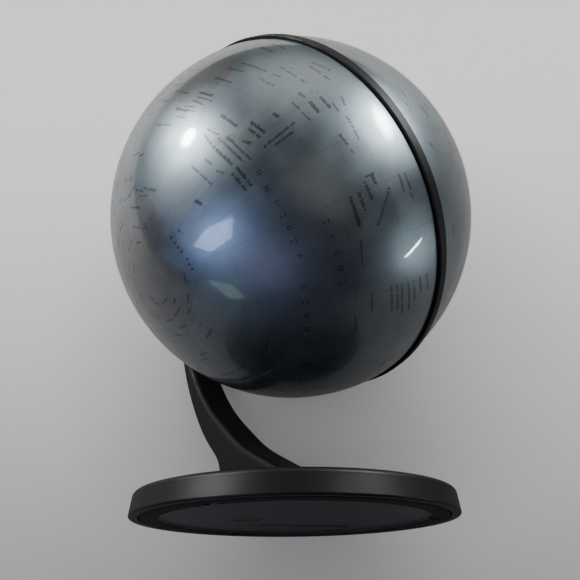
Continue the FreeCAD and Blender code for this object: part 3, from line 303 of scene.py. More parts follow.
# ------------------------------------------------------------------ materials
def coat_material():
    """Pearlescent silver-blue metallic print under a clear gloss coat, with the map in it."""
    m, nt, out = new_mat("globe_coat_paint")
    L = nt.links
    pos = obj_coords(nt)
    cm = nt.nodes.new("ShaderNodeVectorMath")
    cm.operation = "SUBTRACT"
    cm.inputs[1].default_value = tuple(CEN * 1000.0)
    L.new(pos, cm.inputs[0])

    def dot(v_):
        n = nt.nodes.new("ShaderNodeVectorMath")
        n.operation = "DOT_PRODUCT"
        n.inputs[1].default_value = tuple(float(x) for x in v_)
        L.new(cm.outputs[0], n.inputs[0])
        return n.outputs["Value"]

    gx, gy, gz = dot(GX), dot(PIVOT), dot(NORTH)
    lat = math_(nt, "MULTIPLY", math_(nt, "ARCSINE", math_(nt, "DIVIDE", gz, R * 1000.0)), 180.0 / math.pi)
    lon = math_(nt, "MULTIPLY", math_(nt, "ARCTAN2", gy, gx), 180.0 / math.pi)
    lon = math_(nt, "ADD", lon, LON0)
    rxy = math_(nt, "SQRT", math_(nt, "ADD", math_(nt, "MULTIPLY", gx, gx), math_(nt, "MULTIPLY", gy, gy)))

    def line(value, step, per_deg, width):
        """1 on lines every step degrees; per_deg is millimetres per degree there."""
        q_ = math_(nt, "DIVIDE", value, step)
        d_ = math_(nt, "ABSOLUTE", math_(nt, "SUBTRACT", q_, math_(nt, "ROUND", q_)))
        mm = math_(nt, "MULTIPLY", math_(nt, "MULTIPLY", d_, step), per_deg)
        s_ = nt.nodes.new("ShaderNodeMapRange")
        s_.interpolation_type = "SMOOTHSTEP"
        s_.inputs["From Min"].default_value = width * 0.5
        s_.inputs["From Max"].default_value = width * 0.5 + 0.12
        s_.inputs["To Min"].default_value = 1.0
        s_.inputs["To Max"].default_value = 0.0
        L.new(mm, s_.inputs["Value"])
        return s_.outputs[0]

    par = line(lat, 15.0, R * 1000.0 * math.pi / 180.0, 0.14)
    mer = line(lon, 15.0, math_(nt, "MULTIPLY", rxy, math.pi / 180.0), 0.14)
    # meridians stop short of the pole
    stop = math_(nt, "GREATER_THAN", rxy, 6.5)
    mer = math_(nt, "MULTIPLY", mer, stop)
    grat = math_(nt, "MAXIMUM", par, mer)

    at = nt.nodes.new("ShaderNodeAttribute")
    at.attribute_name = "coast"
    coast = at.outputs["Fac"]
    fine = noise(nt, pos, 0.9, 4.0, 0.6)
    jitter = math_(nt, "MULTIPLY", math_(nt, "SUBTRACT", fine, 0.5), 1.1)
    coast = math_(nt, "ADD", coast, jitter)

    def band(value, a, b, c0, c1):
        s_ = nt.nodes.new("ShaderNodeMapRange")
        s_.interpolation_type = "SMOOTHSTEP"
        s_.inputs["From Min"].default_value = a
        s_.inputs["From Max"].default_value = b
        s_.inputs["To Min"].default_value = c0
        s_.inputs["To Max"].default_value = c1
        L.new(value, s_.inputs["Value"])
        return s_.outputs[0]

    land = band(coast, -0.12, 0.12, 0.0, 0.85)
    shore = band(math_(nt, "ABSOLUTE", coast), 0.10, 0.26, 1.0, 0.0)
    shelf = band(coast, -3.2, -0.1, 0.0, 1.0)
    # sea: deep floor relief printed in faint tones
    deep = noise(nt, pos, 0.045, 5.0, 0.62, 0.6)
    deep2 = noise(nt, pos, 0.22, 4.0, 0.6)
    sea = ramp(nt, deep, [(0.30, (0.214, 0.262, 0.292)), (0.52, (0.262, 0.310, 0.338)), (0.72, (0.304, 0.348, 0.370))])
    sea = mixc(nt, math_(nt, "MULTIPLY", shelf, 0.30), sea, (0.31, 0.37, 0.40))
    relief = noise(nt, pos, 0.16, 6.0, 0.66, 0.3)
    ground = ramp(nt, relief, [(0.32, (0.222, 0.238, 0.250)), (0.55, (0.278, 0.288, 0.294)), (0.75, (0.330, 0.334, 0.334))])
    tint = noise(nt, pos, 0.055, 1.0, 0.5)
    ground = mixc(nt, math_(nt, "MULTIPLY", tint, 0.35), ground, (0.300, 0.270, 0.258))
    col = mixc(nt, land, sea, ground)
    col = mixc(nt, math_(nt, "MULTIPLY", grat, 0.26), col, (0.09, 0.115, 0.135))
    col = mixc(nt, math_(nt, "MULTIPLY", shore, 0.22), col, (0.10, 0.115, 0.125))
    # the paint itself: cloudy metallic grain and fine flakes
    cloud = noise(nt, pos, 0.5, 3.0, 0.55)
    col = mixc(nt, 0.10, col, ramp(nt, cloud, [(0.3, (0.75, 0.8, 0.85)), (0.7, (1.2, 1.2, 1.2))]), "MULTIPLY")
    flake = nt.nodes.new("ShaderNodeTexVoronoi")
    flake.inputs["Scale"].default_value = 5.5
    L.new(pos, flake.inputs["Vector"])
    fl = nt.nodes.new("ShaderNodeVectorMath")
    fl.operation = "SUBTRACT"
    fl.inputs[1].default_value = (0.5, 0.5, 0.5)
    L.new(flake.outputs["Color"], fl.inputs[0])
    fs = nt.nodes.new("ShaderNodeVectorMath")
    fs.operation = "SCALE"
    fs.inputs[3].default_value = 0.10
    L.new(fl.outputs[0], fs.inputs[0])
    geo = nt.nodes.new("ShaderNodeNewGeometry")
    add = nt.nodes.new("ShaderNodeVectorMath")
    add.operation = "ADD"
    L.new(geo.outputs["Normal"], add.inputs[0])
    L.new(fs.outputs[0], add.inputs[1])
    nrm = nt.nodes.new("ShaderNodeVectorMath")
    nrm.operation = "NORMALIZE"
    L.new(add.outputs[0], nrm.inputs[0])
    wear = noise(nt, pos, 0.12, 3.0, 0.6)
    rough = band(wear, 0.35, 0.70, 0.36, 0.43)
    p = node(nt, "ShaderNodeBsdfPrincipled", ins={"Metallic": 0.86, "IOR": 1.5, "Coat Weight": 1.0, "Coat Roughness": 0.035, "Coat IOR": 1.5})
    L.new(col, p.inputs["Base Color"])
    L.new(rough, p.inputs["Roughness"])
    L.new(nrm.outputs[0], p.inputs["Normal"])
    # clear coat: long soft waviness
    wave = noise(nt, pos, 0.035, 2.0, 0.5)
    L.new(bump(nt, wave, 0.25, 0.25), p.inputs["Coat Normal"])
    L.new(p.outputs[0], out.inputs[0])
    return m


def ink_material():
    m, nt, out = new_mat("map_ink")
    pos = obj_coords(nt)
    n1 = noise(nt, pos, 1.8, 3.0, 0.6)
    c_ = ramp(nt, n1, [(0.3, (0.092, 0.106, 0.116)), (0.7, (0.126, 0.142, 0.153))])
    p = node(nt, "ShaderNodeBsdfPrincipled", ins={"Metallic": 0.86, "Roughness": 0.36, "Coat Weight": 1.0, "Coat Roughness": 0.035, "Coat IOR": 1.5})
    nt.links.new(c_, p.inputs["Base Color"])
    nt.links.new(p.outputs[0], out.inputs[0])
    return m


def plastic(name, dark, light, rough, grain_scale=3.0, grain=0.10, wave=0.0, scuff=0.35, coat=0.0, spec=0.5, rim=0.0):
    """Moulded plastic: fine spark-eroded grain, cloudy sheen and rub marks; with rim, painted shade: the standing ring
    is painted near black.
    """
    m, nt, out = new_mat(name)
    pos = obj_coords(nt)
    big = noise(nt, pos, 0.08, 3.0, 0.55)
    c_ = ramp(nt, big, [(0.3, dark), (0.7, light)])
    st = nt.nodes.new("ShaderNodeVectorMath")
    st.operation = "MULTIPLY"
    st.inputs[1].default_value = (1.0, 0.16, 1.0)
    nt.links.new(pos, st.inputs[0])
    rub = noise(nt, st.outputs[0], 2.2, 5.0, 0.7)
    dust = noise(nt, pos, 4.5, 2.0, 0.5)
    dusty = ramp(nt, dust, [(0.66, (0, 0, 0)), (0.78, (1, 1, 1))])
    c_ = mixc(nt, math_(nt, "MULTIPLY", dusty, 0.045), c_, (0.35, 0.34, 0.32))
    if rim:
        # painted shade: the standing ring round the cover is painted near black, darker than the sunk middle, standing
        # in for the shaded band under the rim; it is also made rougher
        xy = nt.nodes.new("ShaderNodeVectorMath")
        xy.operation = "MULTIPLY"
        xy.inputs[1].default_value = (1.0, 1.0, 0.0)
        nt.links.new(pos, xy.inputs[0])
        ln = nt.nodes.new("ShaderNodeVectorMath")
        ln.operation = "LENGTH"
        nt.links.new(xy.outputs[0], ln.inputs[0])
        painted_shade_ring = nt.nodes.new("ShaderNodeMapRange")
        painted_shade_ring.interpolation_type = "SMOOTHSTEP"
        painted_shade_ring.inputs["From Min"].default_value = rim * 1000.0 - 0.6
        painted_shade_ring.inputs["From Max"].default_value = rim * 1000.0 + 0.1
        nt.links.new(ln.outputs["Value"], painted_shade_ring.inputs["Value"])
        c_ = mixc(nt, painted_shade_ring.outputs[0], c_, (0.0095, 0.0090, 0.0096))
    p = node(nt, "ShaderNodeBsdfPrincipled", ins={"IOR": 1.49, "Coat Weight": coat, "Coat Roughness": 0.12, "Specular IOR Level": spec})
    nt.links.new(c_, p.inputs["Base Color"])
    rr = nt.nodes.new("ShaderNodeMapRange")
    rr.inputs["From Min"].default_value = 0.35
    rr.inputs["From Max"].default_value = 0.70
    rr.inputs["To Min"].default_value = rough - 0.04
    rr.inputs["To Max"].default_value = rough + scuff * 0.25
    nt.links.new(rub, rr.inputs["Value"])
    if rim:
        nt.links.new(math_(nt, "ADD", rr.outputs[0], math_(nt, "MULTIPLY", painted_shade_ring.outputs[0], 0.30), clamp=True), p.inputs["Roughness"])
    else:
        nt.links.new(rr.outputs[0], p.inputs["Roughness"])
    g = noise(nt, pos, grain_scale, 3.0, 0.6)
    b1 = bump(nt, g, 0.5, grain)
    if wave:
        w = noise(nt, pos, 0.05, 2.0, 0.5)
        b1 = bump(nt, w, 0.6, wave, b1)
    nt.links.new(b1, p.inputs["Normal"])
    nt.links.new(p.outputs[0], out.inputs[0])
    return m


def metal(name, dark, light, rough, aniso=0.0, scratch=1.0):
    m, nt, out = new_mat(name)
    pos = obj_coords(nt)
    big = noise(nt, pos, 0.5, 4.0, 0.6)
    c_ = ramp(nt, big, [(0.3, dark), (0.7, light)])
    st = nt.nodes.new("ShaderNodeVectorMath")
    st.operation = "MULTIPLY"
    st.inputs[1].default_value = (1.0, 1.0, 0.08)
    nt.links.new(pos, st.inputs[0])
    tool = noise(nt, st.outputs[0], 9.0, 3.0, 0.6)
    p = node(nt, "ShaderNodeBsdfPrincipled", ins={"Metallic": 1.0})
    nt.links.new(c_, p.inputs["Base Color"])
    rr = nt.nodes.new("ShaderNodeMapRange")
    rr.inputs["To Min"].default_value = rough - 0.06
    rr.inputs["To Max"].default_value = rough + 0.12
    nt.links.new(tool, rr.inputs["Value"])
    nt.links.new(rr.outputs[0], p.inputs["Roughness"])
    nt.links.new(bump(nt, tool, 0.35, 0.04 * scratch), p.inputs["Normal"])
    nt.links.new(p.outputs[0], out.inputs[0])
    return m


def cast_material():
    m, nt, out = new_mat("cast_iron_rough")
    pos = obj_coords(nt)
    a = noise(nt, pos, 0.9, 6.0, 0.65)
    c_ = ramp(nt, a, [(0.3, (0.045, 0.045, 0.048)), (0.7, (0.12, 0.115, 0.11))])
    p = node(nt, "ShaderNodeBsdfPrincipled", ins={"Metallic": 0.8, "Roughness": 0.62})
    nt.links.new(c_, p.inputs["Base Color"])
    nt.links.new(bump(nt, a, 0.8, 0.3), p.inputs["Normal"])
    nt.links.new(p.outputs[0], out.inputs[0])
    return m


MAT = {
    "globe_coat": coat_material(),
    "black_satin": plastic("black_satin_plastic", (0.0105, 0.0100, 0.0108), (0.0165, 0.0160, 0.0172), 0.43, 3.4, 0.06, 0.35, 0.4, spec=0.34),
    # rim: radius where the cover's standing ring starts; that ring is painted near black as painted shade
    "black_matte": plastic("dark_matte_plastic", (0.095, 0.089, 0.099), (0.136, 0.129, 0.141), 0.42, 2.6, 0.12, 0.5, 0.4, rim=0.0493),
    "dark_screw": metal("black_zinc", (0.030, 0.030, 0.032), (0.060, 0.060, 0.065), 0.42),
    "steel": metal("zinc_plate", (0.48, 0.49, 0.51), (0.62, 0.63, 0.65), 0.30),
    "brass": metal("turned_brass", (0.62, 0.44, 0.16), (0.76, 0.57, 0.25), 0.28),
    "white_acetal": plastic("natural_acetal", (0.62, 0.62, 0.59), (0.72, 0.72, 0.69), 0.38, 4.0, 0.03),
    "fibre": plastic("dark_fibre", (0.035, 0.030, 0.028), (0.06, 0.05, 0.046), 0.62, 5.0, 0.15),
    "inner_plastic": plastic("inner_moulding", (0.52, 0.52, 0.50), (0.62, 0.62, 0.60), 0.48, 3.0, 0.05),
    "ballast_iron": cast_material(),
    "foam_rubber": plastic("foam_grey", (0.05, 0.05, 0.052), (0.085, 0.085, 0.09), 0.85, 6.0, 0.35),
}
INK = ink_material()

slots = {s["node"]: s["material_slot"] for s in frame["record"]["subparts"]}
for nm, ob in frame["nodes"].items():
    ob.data.materials.clear()
    ob.data.materials.append(MAT[slots[nm]])
    for pl in ob.data.polygons:
        pl.material_index = 0


# ------------------------------------------------------------------ mesh helper
def mesh_object(name, verts, faces, mat, smooth=True):
    me = bpy.data.meshes.new(name)
    me.from_pydata([tuple(v_) for v_ in verts], [], faces)
    me.update()
    ob = bpy.data.objects.new(name, me)
    bpy.context.scene.collection.objects.link(ob)
    me.materials.append(mat)
    if smooth:
        me.shade_smooth()
    return ob


# ------------------------------------------------------------------ hemispheres
SHELL = 0.0016
EDGE = 0.00255                                 # edge of the shell from the equator plane
NLON = 480
EDGE_ROUND = 0.0004


def hemisphere(name, sign, nlat=150):
    """Outer skin, rounded edge and inner skin of one thin shell, closed."""
    a0 = math.asin((EDGE + EDGE_ROUND) / R)
    lats = np.linspace(a0, math.pi / 2, nlat)[:-1]
    rows = []                                  # (radius from axis, height) outer, from pole side to edge
    for a in lats[::-1]:
        rows.append((math.cos(a) * R, math.sin(a) * R))
    r_edge = math.sqrt(R * R - (EDGE + EDGE_ROUND) ** 2)
    for t in (0.3, 0.6, 1.0):                  # rounded outer corner
        th = t * math.pi / 2
        rows.append((r_edge - EDGE_ROUND * (1 - math.cos(th)), EDGE + EDGE_ROUND * (1 - math.sin(th))))
    Ri = R - SHELL
    rows.append((math.sqrt(Ri * Ri - EDGE * EDGE), EDGE))
    ai = math.asin(EDGE / Ri)
    inner = np.linspace(ai, math.pi / 2, 40)[1:-1]
    for a in inner:
        rows.append((math.cos(a) * Ri, math.sin(a) * Ri))
    ph = np.linspace(0, 2 * math.pi, NLON, endpoint=False)
    rr = np.array([r_[0] for r_ in rows])
    zz = np.array([r_[1] for r_ in rows]) * sign
    X = rr[:, None] * np.cos(ph)[None]
    Y = rr[:, None] * np.sin(ph)[None]
    Z = np.repeat(zz[:, None], NLON, 1)
    P = np.stack([X, Y, Z], -1).reshape(-1, 3)
    top = np.array([[0, 0, R * sign]])
    bot = np.array([[0, 0, Ri * sign]])
    P = np.vstack([P, top, bot])
    W = CEN + P[:, :1] * GX + P[:, 1:2] * PIVOT + P[:, 2:3] * NORTH
    n = len(rows)
    faces = []
    for i in range(n - 1):
        b0, b1 = i * NLON, (i + 1) * NLON
        for j in range(NLON):
            k_ = (j + 1) % NLON
            f = (b0 + j, b1 + j, b1 + k_, b0 + k_)
            faces.append(f if sign > 0 else f[::-1])
    it, ib = n * NLON, n * NLON + 1
    for j in range(NLON):
        k_ = (j + 1) % NLON
        f = (it, j, k_)
        faces.append(f if sign > 0 else f[::-1])
        g = (ib, (n - 1) * NLON + k_, (n - 1) * NLON + j)
        faces.append(g if sign > 0 else g[::-1])
    ob = mesh_object(name, W, faces, MAT["globe_coat"])
    # distance to the coast, on the outer skin's points
    Rn = np.linalg.norm(P, axis=1)
    latd = np.degrees(np.arcsin(np.clip(P[:, 2] / Rn, -1, 1)))
    lond = (np.degrees(np.arctan2(P[:, 1], P[:, 0])) + LON0 + 180.0) % 360.0 - 180.0
    val = np.full(len(P), -4.0)
    outer = np.arange((nlat + 2) * NLON)
    outer = np.concatenate([outer, [it]])
    val[outer] = coast_distance(lond[outer], latd[outer])
    at = ob.data.attributes.new("coast", "FLOAT", "POINT")
    at.data.foreach_set("value", val.astype(np.float32))
    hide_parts("north_hemisphere" if sign > 0 else "south_hemisphere")
    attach(ob, "globe")
    return ob


north = hemisphere("north_shell", 1)
south = hemisphere("south_shell", -1)


# ------------------------------------------------------------------ printed marks that stand for the small print
class Ink:
    """Thin closed plates of ink on the ball's skin."""

    def __init__(self, name):
        self.name, self.v, self.f = name, [], []

    def plate(self, lon, lat, ang, w, h, dx=0.0, dy=0.0):
        """A plate w by h millimetres, centred dx, dy from the place, ang degrees anticlockwise from east."""
        c = unit(lon, lat)
        b, a = math.radians(lat), math.radians(lon - LON0)
        east = np.array([-math.sin(a), math.cos(a), 0.0])
        nor = np.array([-math.sin(b) * math.cos(a), -math.sin(b) * math.sin(a), math.cos(b)])
        t = math.radians(ang)
        u = east * math.cos(t) + nor * math.sin(t)
        v_ = -east * math.sin(t) + nor * math.cos(t)
        k0 = len(self.v)
        for hgt in (-0.02, 0.022):
            for sx, sy in ((-1, -1), (1, -1), (1, 1), (-1, 1)):
                q_ = c * R * 1000.0 + u * (dx + sx * w / 2) + v_ * (dy + sy * h / 2)
                q_ = q_ / np.linalg.norm(q_) * (R * 1000.0 + hgt)
                self.v.append(q_ / 1000.0)
        for f in ((3, 2, 1, 0), (4, 5, 6, 7), (0, 1, 5, 4), (1, 2, 6, 5), (2, 3, 7, 6), (3, 0, 4, 7)):
            self.f.append(tuple(k0 + i for i in f))

    def row(self, lon, lat, ang, length, h=0.85, weight=1.0):
        """A row of small blocks that reads as a line of fine print."""
        x = -length / 2
        while x < length / 2 - 0.15:
            w = rng.uniform(0.28, 0.62)
            w = min(w, length / 2 - x)
            hh = h * rng.choice([1.0, 0.72, 0.78, 0.95])
            self.plate(lon, lat, ang, w * weight, hh, x + w / 2, (hh - h) / 2)
            x += w + rng.uniform(0.12, 0.24)
            if rng.random() < 0.07:
                x += 0.5

    def glyph(self, lon, lat, ang, kind):
        """A plain tick that stands for one widely spaced letter."""
        s = 2.0
        if kind == 0:
            self.plate(lon, lat, ang, 0.42, s, -0.5)
            self.plate(lon, lat, ang, 0.42, s, 0.5)
        elif kind == 1:
            self.plate(lon, lat, ang, 0.40, s, -0.65)
            self.plate(lon, lat, ang, 0.40, s * 0.5, 0.0)
            self.plate(lon, lat, ang, 0.40, s, 0.65)
        elif kind == 2:
            self.plate(lon, lat, ang, 0.42, s, -0.5)
            self.plate(lon, lat, ang, 0.42, s * 0.45, 0.4)
        elif kind == 3:
            self.plate(lon, lat, ang, 1.3, 0.42, 0.0, 0.4 * s)
            self.plate(lon, lat, ang, 1.3, 0.42, 0.0, -0.4 * s)
        else:
            self.plate(lon, lat, ang, 0.9, 1.1)

    def done(self):
        V_ = np.array(self.v)
        W = CEN + V_[:, :1] * GX + V_[:, 1:2] * PIVOT + V_[:, 2:3] * NORTH
        ob = mesh_object(self.name, W, self.f, INK, smooth=False)
        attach(ob, "globe")
        return ob


ink_s = Ink("south_map_print")
ink_n = Ink("north_map_print")


def ink_of(lat):
    return ink_n if lat > 0 else ink_s


# rows of print: (lon, lat, angle from east, length in mm, weight)
PLACED = [
    (152.9, -28.5, -0, 8.7, 1), (153.4, -23.7, 1, 8.2, 1), (157.7, -20.6, 1, 12.8, 1), (166.2, -23.6, 1, 7.3, 1), (154.6, -7.8, -9, 9.0, 1), (153.8, -11.4, -11, 7.7, 1),
    (167.6, -16.8, -1, 8.4, 1), (166.8, -20.0, 11, 3.4, 1), (173.7, -16.5, 9, 3.0, 2), (177.2, -20.5, 13, 2.9, 2), (179.1, -24.1, -2, 4.2, 1), (-176.5, -24.2, 4, 4.2, 1),
    (-177.4, -20.7, -3, 5.5, 2), (-177.0, -17.1, 1, 5.8, 2), (-174.2, -15.8, -5, 4.3, 1), (171.8, -8.0, 14, 7.9, 1), (172.1, -10.7, 3, 5.3, 1), (176.3, -10.5, 3, 3.0, 1),
    (177.8, -29.9, 10, 2.7, 2), (167.2, -38.8, -1, 8.6, 2), (176.9, -35.5, 5, 6.5, 2), (177.8, -37.2, 3, 5.7, 2), (178.3, -40.3, 23, 3.4, 2), (-176.6, -32.8, 92, 14.2, 1),
    (-174.6, -32.7, 90, 7.9, 1), (151.0, -34.4, -3, 7.6, 2), (151.8, -36.0, -2, 8.5, 1), (150.5, -37.6, -6, 7.2, 1), (140.5, -34.6, -10, 4.8, 1), (147.8, -39.3, 4, 5.4, 1),
    (144.8, -40.6, -4, 6.9, 2), (149.8, -40.5, 2, 4.5, 1), (146.9, -43.0, -3, 5.2, 1), (138.8, -45.6, -3, 8.3, 1), (131.3, -36.6, -14, 6.4, 1), (165.0, -43.6, 3, 5.7, 1),
    (176.1, -44.5, -1, 13.9, 1), (173.1, -42.6, 3, 3.9, 2), (179.7, -42.8, 2, 8.8, 1), (174.8, -47.0, -1, 10.4, 2), (-172.7, -46.7, -0, 8.7, 2), (-172.4, -48.5, 2, 7.8, 2),
    (173.1, -54.4, -1, 10.6, 1), (171.8, -50.6, 0, 3.8, 1), (179.0, -50.5, 22, 3.3, 1), (165.2, -46.0, -19, 6.4, 1), (-179.3, -60.2, 19, 3.3, 1), (146.2, -64.0, -5, 3.5, 1),
    (-145.5, -26.0, -2, 10.4, 2), (-147.3, -23.3, 1, 6.2, 2), (-149.4, -20.5, 1, 6.4, 2), (-153.2, -18.5, 89, 3.8, 1), (-151.7, -17.8, 3, 3.9, 2), (-144.0, -17.8, 140, 14.0, 1),
    (-147.9, -10.1, -6, 6.1, 1), (-147.5, -7.9, -1, 6.3, 1), (-143.6, -8.2, 21, 2.0, 1), (-133.3, -27.2, -6, 8.8, 1), (-117.1, -25.3, 4, 7.9, 1), (-116.5, -19.0, 7, 11.1, 1),
    (-116.7, -17.1, 7, 11.1, 1), (-115.4, -15.4, 8, 13.4, 1), (-115.6, -13.0, 9, 12.1, 1), (-116.9, -11.2, 8, 8.9, 1), (-118.2, -9.0, 12, 6.6, 1), (-118.1, -6.2, 12, 7.2, 1),
    (-166.7, -15.5, -9, 9.6, 1), (-164.9, -19.9, 4, 4.6, 2), (-160.8, -19.7, 16, 1.8, 1), (-176.9, -17.1, -3, 5.6, 2), (-177.5, -20.4, -4, 5.0, 2), (-174.9, -12.5, -24, 4.5, 1),
    (-110.1, -29.3, 12, 7.8, 1), (-167.4, 7.6, 9, 4.9, 1), (-153.7, 7.9, 27, 3.3, 1), (142.3, -64.3, -7, 6.8, 1), (137.2, -66.0, -3, 5.6, 1), (-179.0, -60.1, 22, 3.3, 2),
    (126.4, -68.9, -10, 6.8, 1), (124.6, -74.3, -14, 4.6, 1), (142.2, -74.3, -61, 2.5, 1), (-176.7, -69.5, 19, 2.2, 1), (-139.0, -75.8, -5, 3.7, 1), (-113.9, -76.1, 3, 4.1, 1),
]
for lon_, lat_, ang_, len_, wt_ in PLACED:
    if abs(lat_) > 3.0:
        ink_of(lat_).row(lon_, lat_, ang_, len_, 0.95 if wt_ < 1.5 else 1.35, 1.0 if wt_ < 1.5 else 1.12)

SPACED = [
    (-170.4, -43.2, -9, 0), (-164.1, -43.9, -2, 1), (-157.9, -43.6, 2, 2), (-152.9, -43.6, 1, 3), (-148.4, -43.4, 1, 0), (-143.4, -43.5, 2, 3), (-137.6, -43.1, -1, 2), (-126.2, -43.6, -2, 2),
    (-120.6, -43.5, 3, 3), (-114.8, -43.2, 6, 0), (-108.8, -42.7, 8, 1), (-103.4, -42.0, 9, 3), (-145.8, -34.1, 6, 3), (-140.6, -33.7, 2, 2), (-135.6, -33.8, 1, 0), (-130.5, -33.5, 3, 1),
    (-125.5, -33.4, 1, 3), (179.4, -73.0, 0, 4), (-174.5, -73.2, 0, 4), (-169.5, -73.2, 0, 4), (-164.3, -73.1, 0, 4), (-155.7, -72.5, 0, 4), (-151.0, -72.8, 0, 4), (-146.1, -72.5, 0, 4),
]
for lon_, lat_, ang_, kind_ in SPACED:
    ink_of(lat_).glyph(lon_, lat_, ang_, kind_)

# the rest of the world
taken = [(a_[0], a_[1]) for a_ in PLACED] + [(a_[0], a_[1]) for a_ in SPACED]
taken = [unit(a_, b_) for a_, b_ in taken]


def free(lon, lat, gap):
    u_ = unit(lon, lat)
    return all(np.linalg.norm(u_ - t_) * R * 1000.0 > gap for t_ in taken)


def seen_zone(lon, lat):
    """The part of the map whose print is listed one by one."""
    l = (lon + 360.0) % 360.0
    return lat < -2.0 and 135.0 < l < 262.0


cand_n = 5200
cl = rng.uniform(-180, 180, cand_n)
cb_ = np.degrees(np.arcsin(rng.uniform(-0.995, 0.995, cand_n)))
cd = coast_distance(cl, cb_)
made = 0
for lon_, lat_, d_ in zip(cl, cb_, cd):
    if abs(lat_) < 3.4 or seen_zone(lon_, lat_):
        continue
    want = 1.0 if d_ > 0 else (0.55 if d_ > -4.4 else 0.05)
    if lat_ < -66 or lat_ > 72:
        want *= 0.45
    if rng.random() > want:
        continue
    ln = rng.uniform(2.2, 6.5)
    if not free(lon_, lat_, 2.3 + ln * 0.28):
        continue
    taken.append(unit(lon_, lat_))
    ang_ = 0.0 if rng.random() < 0.8 else rng.uniform(-50, 50)
    ink_of(lat_).row(lon_, lat_, ang_, ln, 0.85 if rng.random() < 0.8 else 1.1)
    made += 1
# widely spaced ticks for the other oceans and the continents
for lon_a, lon_b, lat_, n_, bend in ((-60, -15, -22, 10, 6), (-55, -25, 32, 11, 5), (62, 95, -28, 10, 4), (-165, -135, 30, 9, 4), (150, 178, 28, 9, -3), (80, 115, 58, 9, 4), (10, 30, 12, 6, 0), (-110, -92, 46, 8, 0), (-66, -48, -12, 7, -4), (-20, 30, -58, 9, 3), (60, 120, -60, 10, 3)):
    for i_ in range(n_):
        t_ = i_ / (n_ - 1.0)
        lo_ = lon_a + (lon_b - lon_a) * t_
        la_ = lat_ + bend * math.sin(math.pi * t_)
        ink_of(la_).glyph(lo_, la_, 0.0, int(rng.integers(0, 4)))

ink_s.done()
ink_n.done()


# ------------------------------------------------------------------ moulded marks under the base, plain blocks
def under_marks():
    sunk = 0.0012
    vs, fs = [], []

    def block(cx, cy, ang, w, h):
        t = math.radians(ang)
        u, v_ = (math.cos(t), math.sin(t)), (-math.sin(t), math.cos(t))
        k0 = len(vs)
        for z in (sunk - 0.00008, sunk + 0.00008):
            for sx, sy in ((-1, -1), (1, -1), (1, 1), (-1, 1)):
                vs.append(((cx + u[0] * sx * w / 2 + v_[0] * sy * h / 2) / 1000.0, (cy + u[1] * sx * w / 2 + v_[1] * sy * h / 2) / 1000.0, z))
        for f in ((3, 2, 1, 0), (4, 5, 6, 7), (0, 1, 5, 4), (1, 2, 6, 5), (2, 3, 7, 6), (3, 0, 4, 7)):
            fs.append(tuple(k0 + i for i in f))

    def line_of(x0, y0, x1, y1, h, lo_, hi_, gap):
        L_ = math.hypot(x1 - x0, y1 - y0)
        ang = math.degrees(math.atan2(y1 - y0, x1 - x0))
        t = 0.0
        while t < L_ - lo_:
            w = min(rng.uniform(lo_, hi_), L_ - t)
            f = (t + w / 2) / L_
            block(x0 + (x1 - x0) * f, y0 + (y1 - y0) * f, ang, w, h * rng.choice([1.0, 0.7, 0.85]))
            t += w + gap

    line_of(-2.5, 28.0, 35.5, 14.0, 7.0, 1.6, 3.2, 0.7)
    line_of(-17.5, 13.0, -8.5, 8.0, 2.6, 1.0, 2.0, 0.5)
    line_of(-14.5, 18.5, -5.0, 13.2, 2.6, 1.0, 2.0, 0.5)
    ob = mesh_object("cover_marks", vs, fs, MAT["black_satin"], smooth=False)
    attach(ob, "stand")
    return ob


under_marks()


# ------------------------------------------------------------------ stage
def stage_plane(name, centre, normal, up, sx, sy, mat):
    n = Vector(normal).normalized()
    u = Vector(up).cross(n).normalized()
    v_ = n.cross(u)
    c = Vector(centre)
    pts = [c - u * sx / 2 - v_ * sy / 2, c + u * sx / 2 - v_ * sy / 2, c + u * sx / 2 + v_ * sy / 2, c - u * sx / 2 + v_ * sy / 2]
    ob = mesh_object(name, pts, [(0, 1, 2, 3)], mat, smooth=False)
    uv = ob.data.uv_layers.new(name="UVMap")
    for i, co in enumerate(((0, 0), (1, 0), (1, 1), (0, 1))):
        uv.data[i].uv = co
    return ob


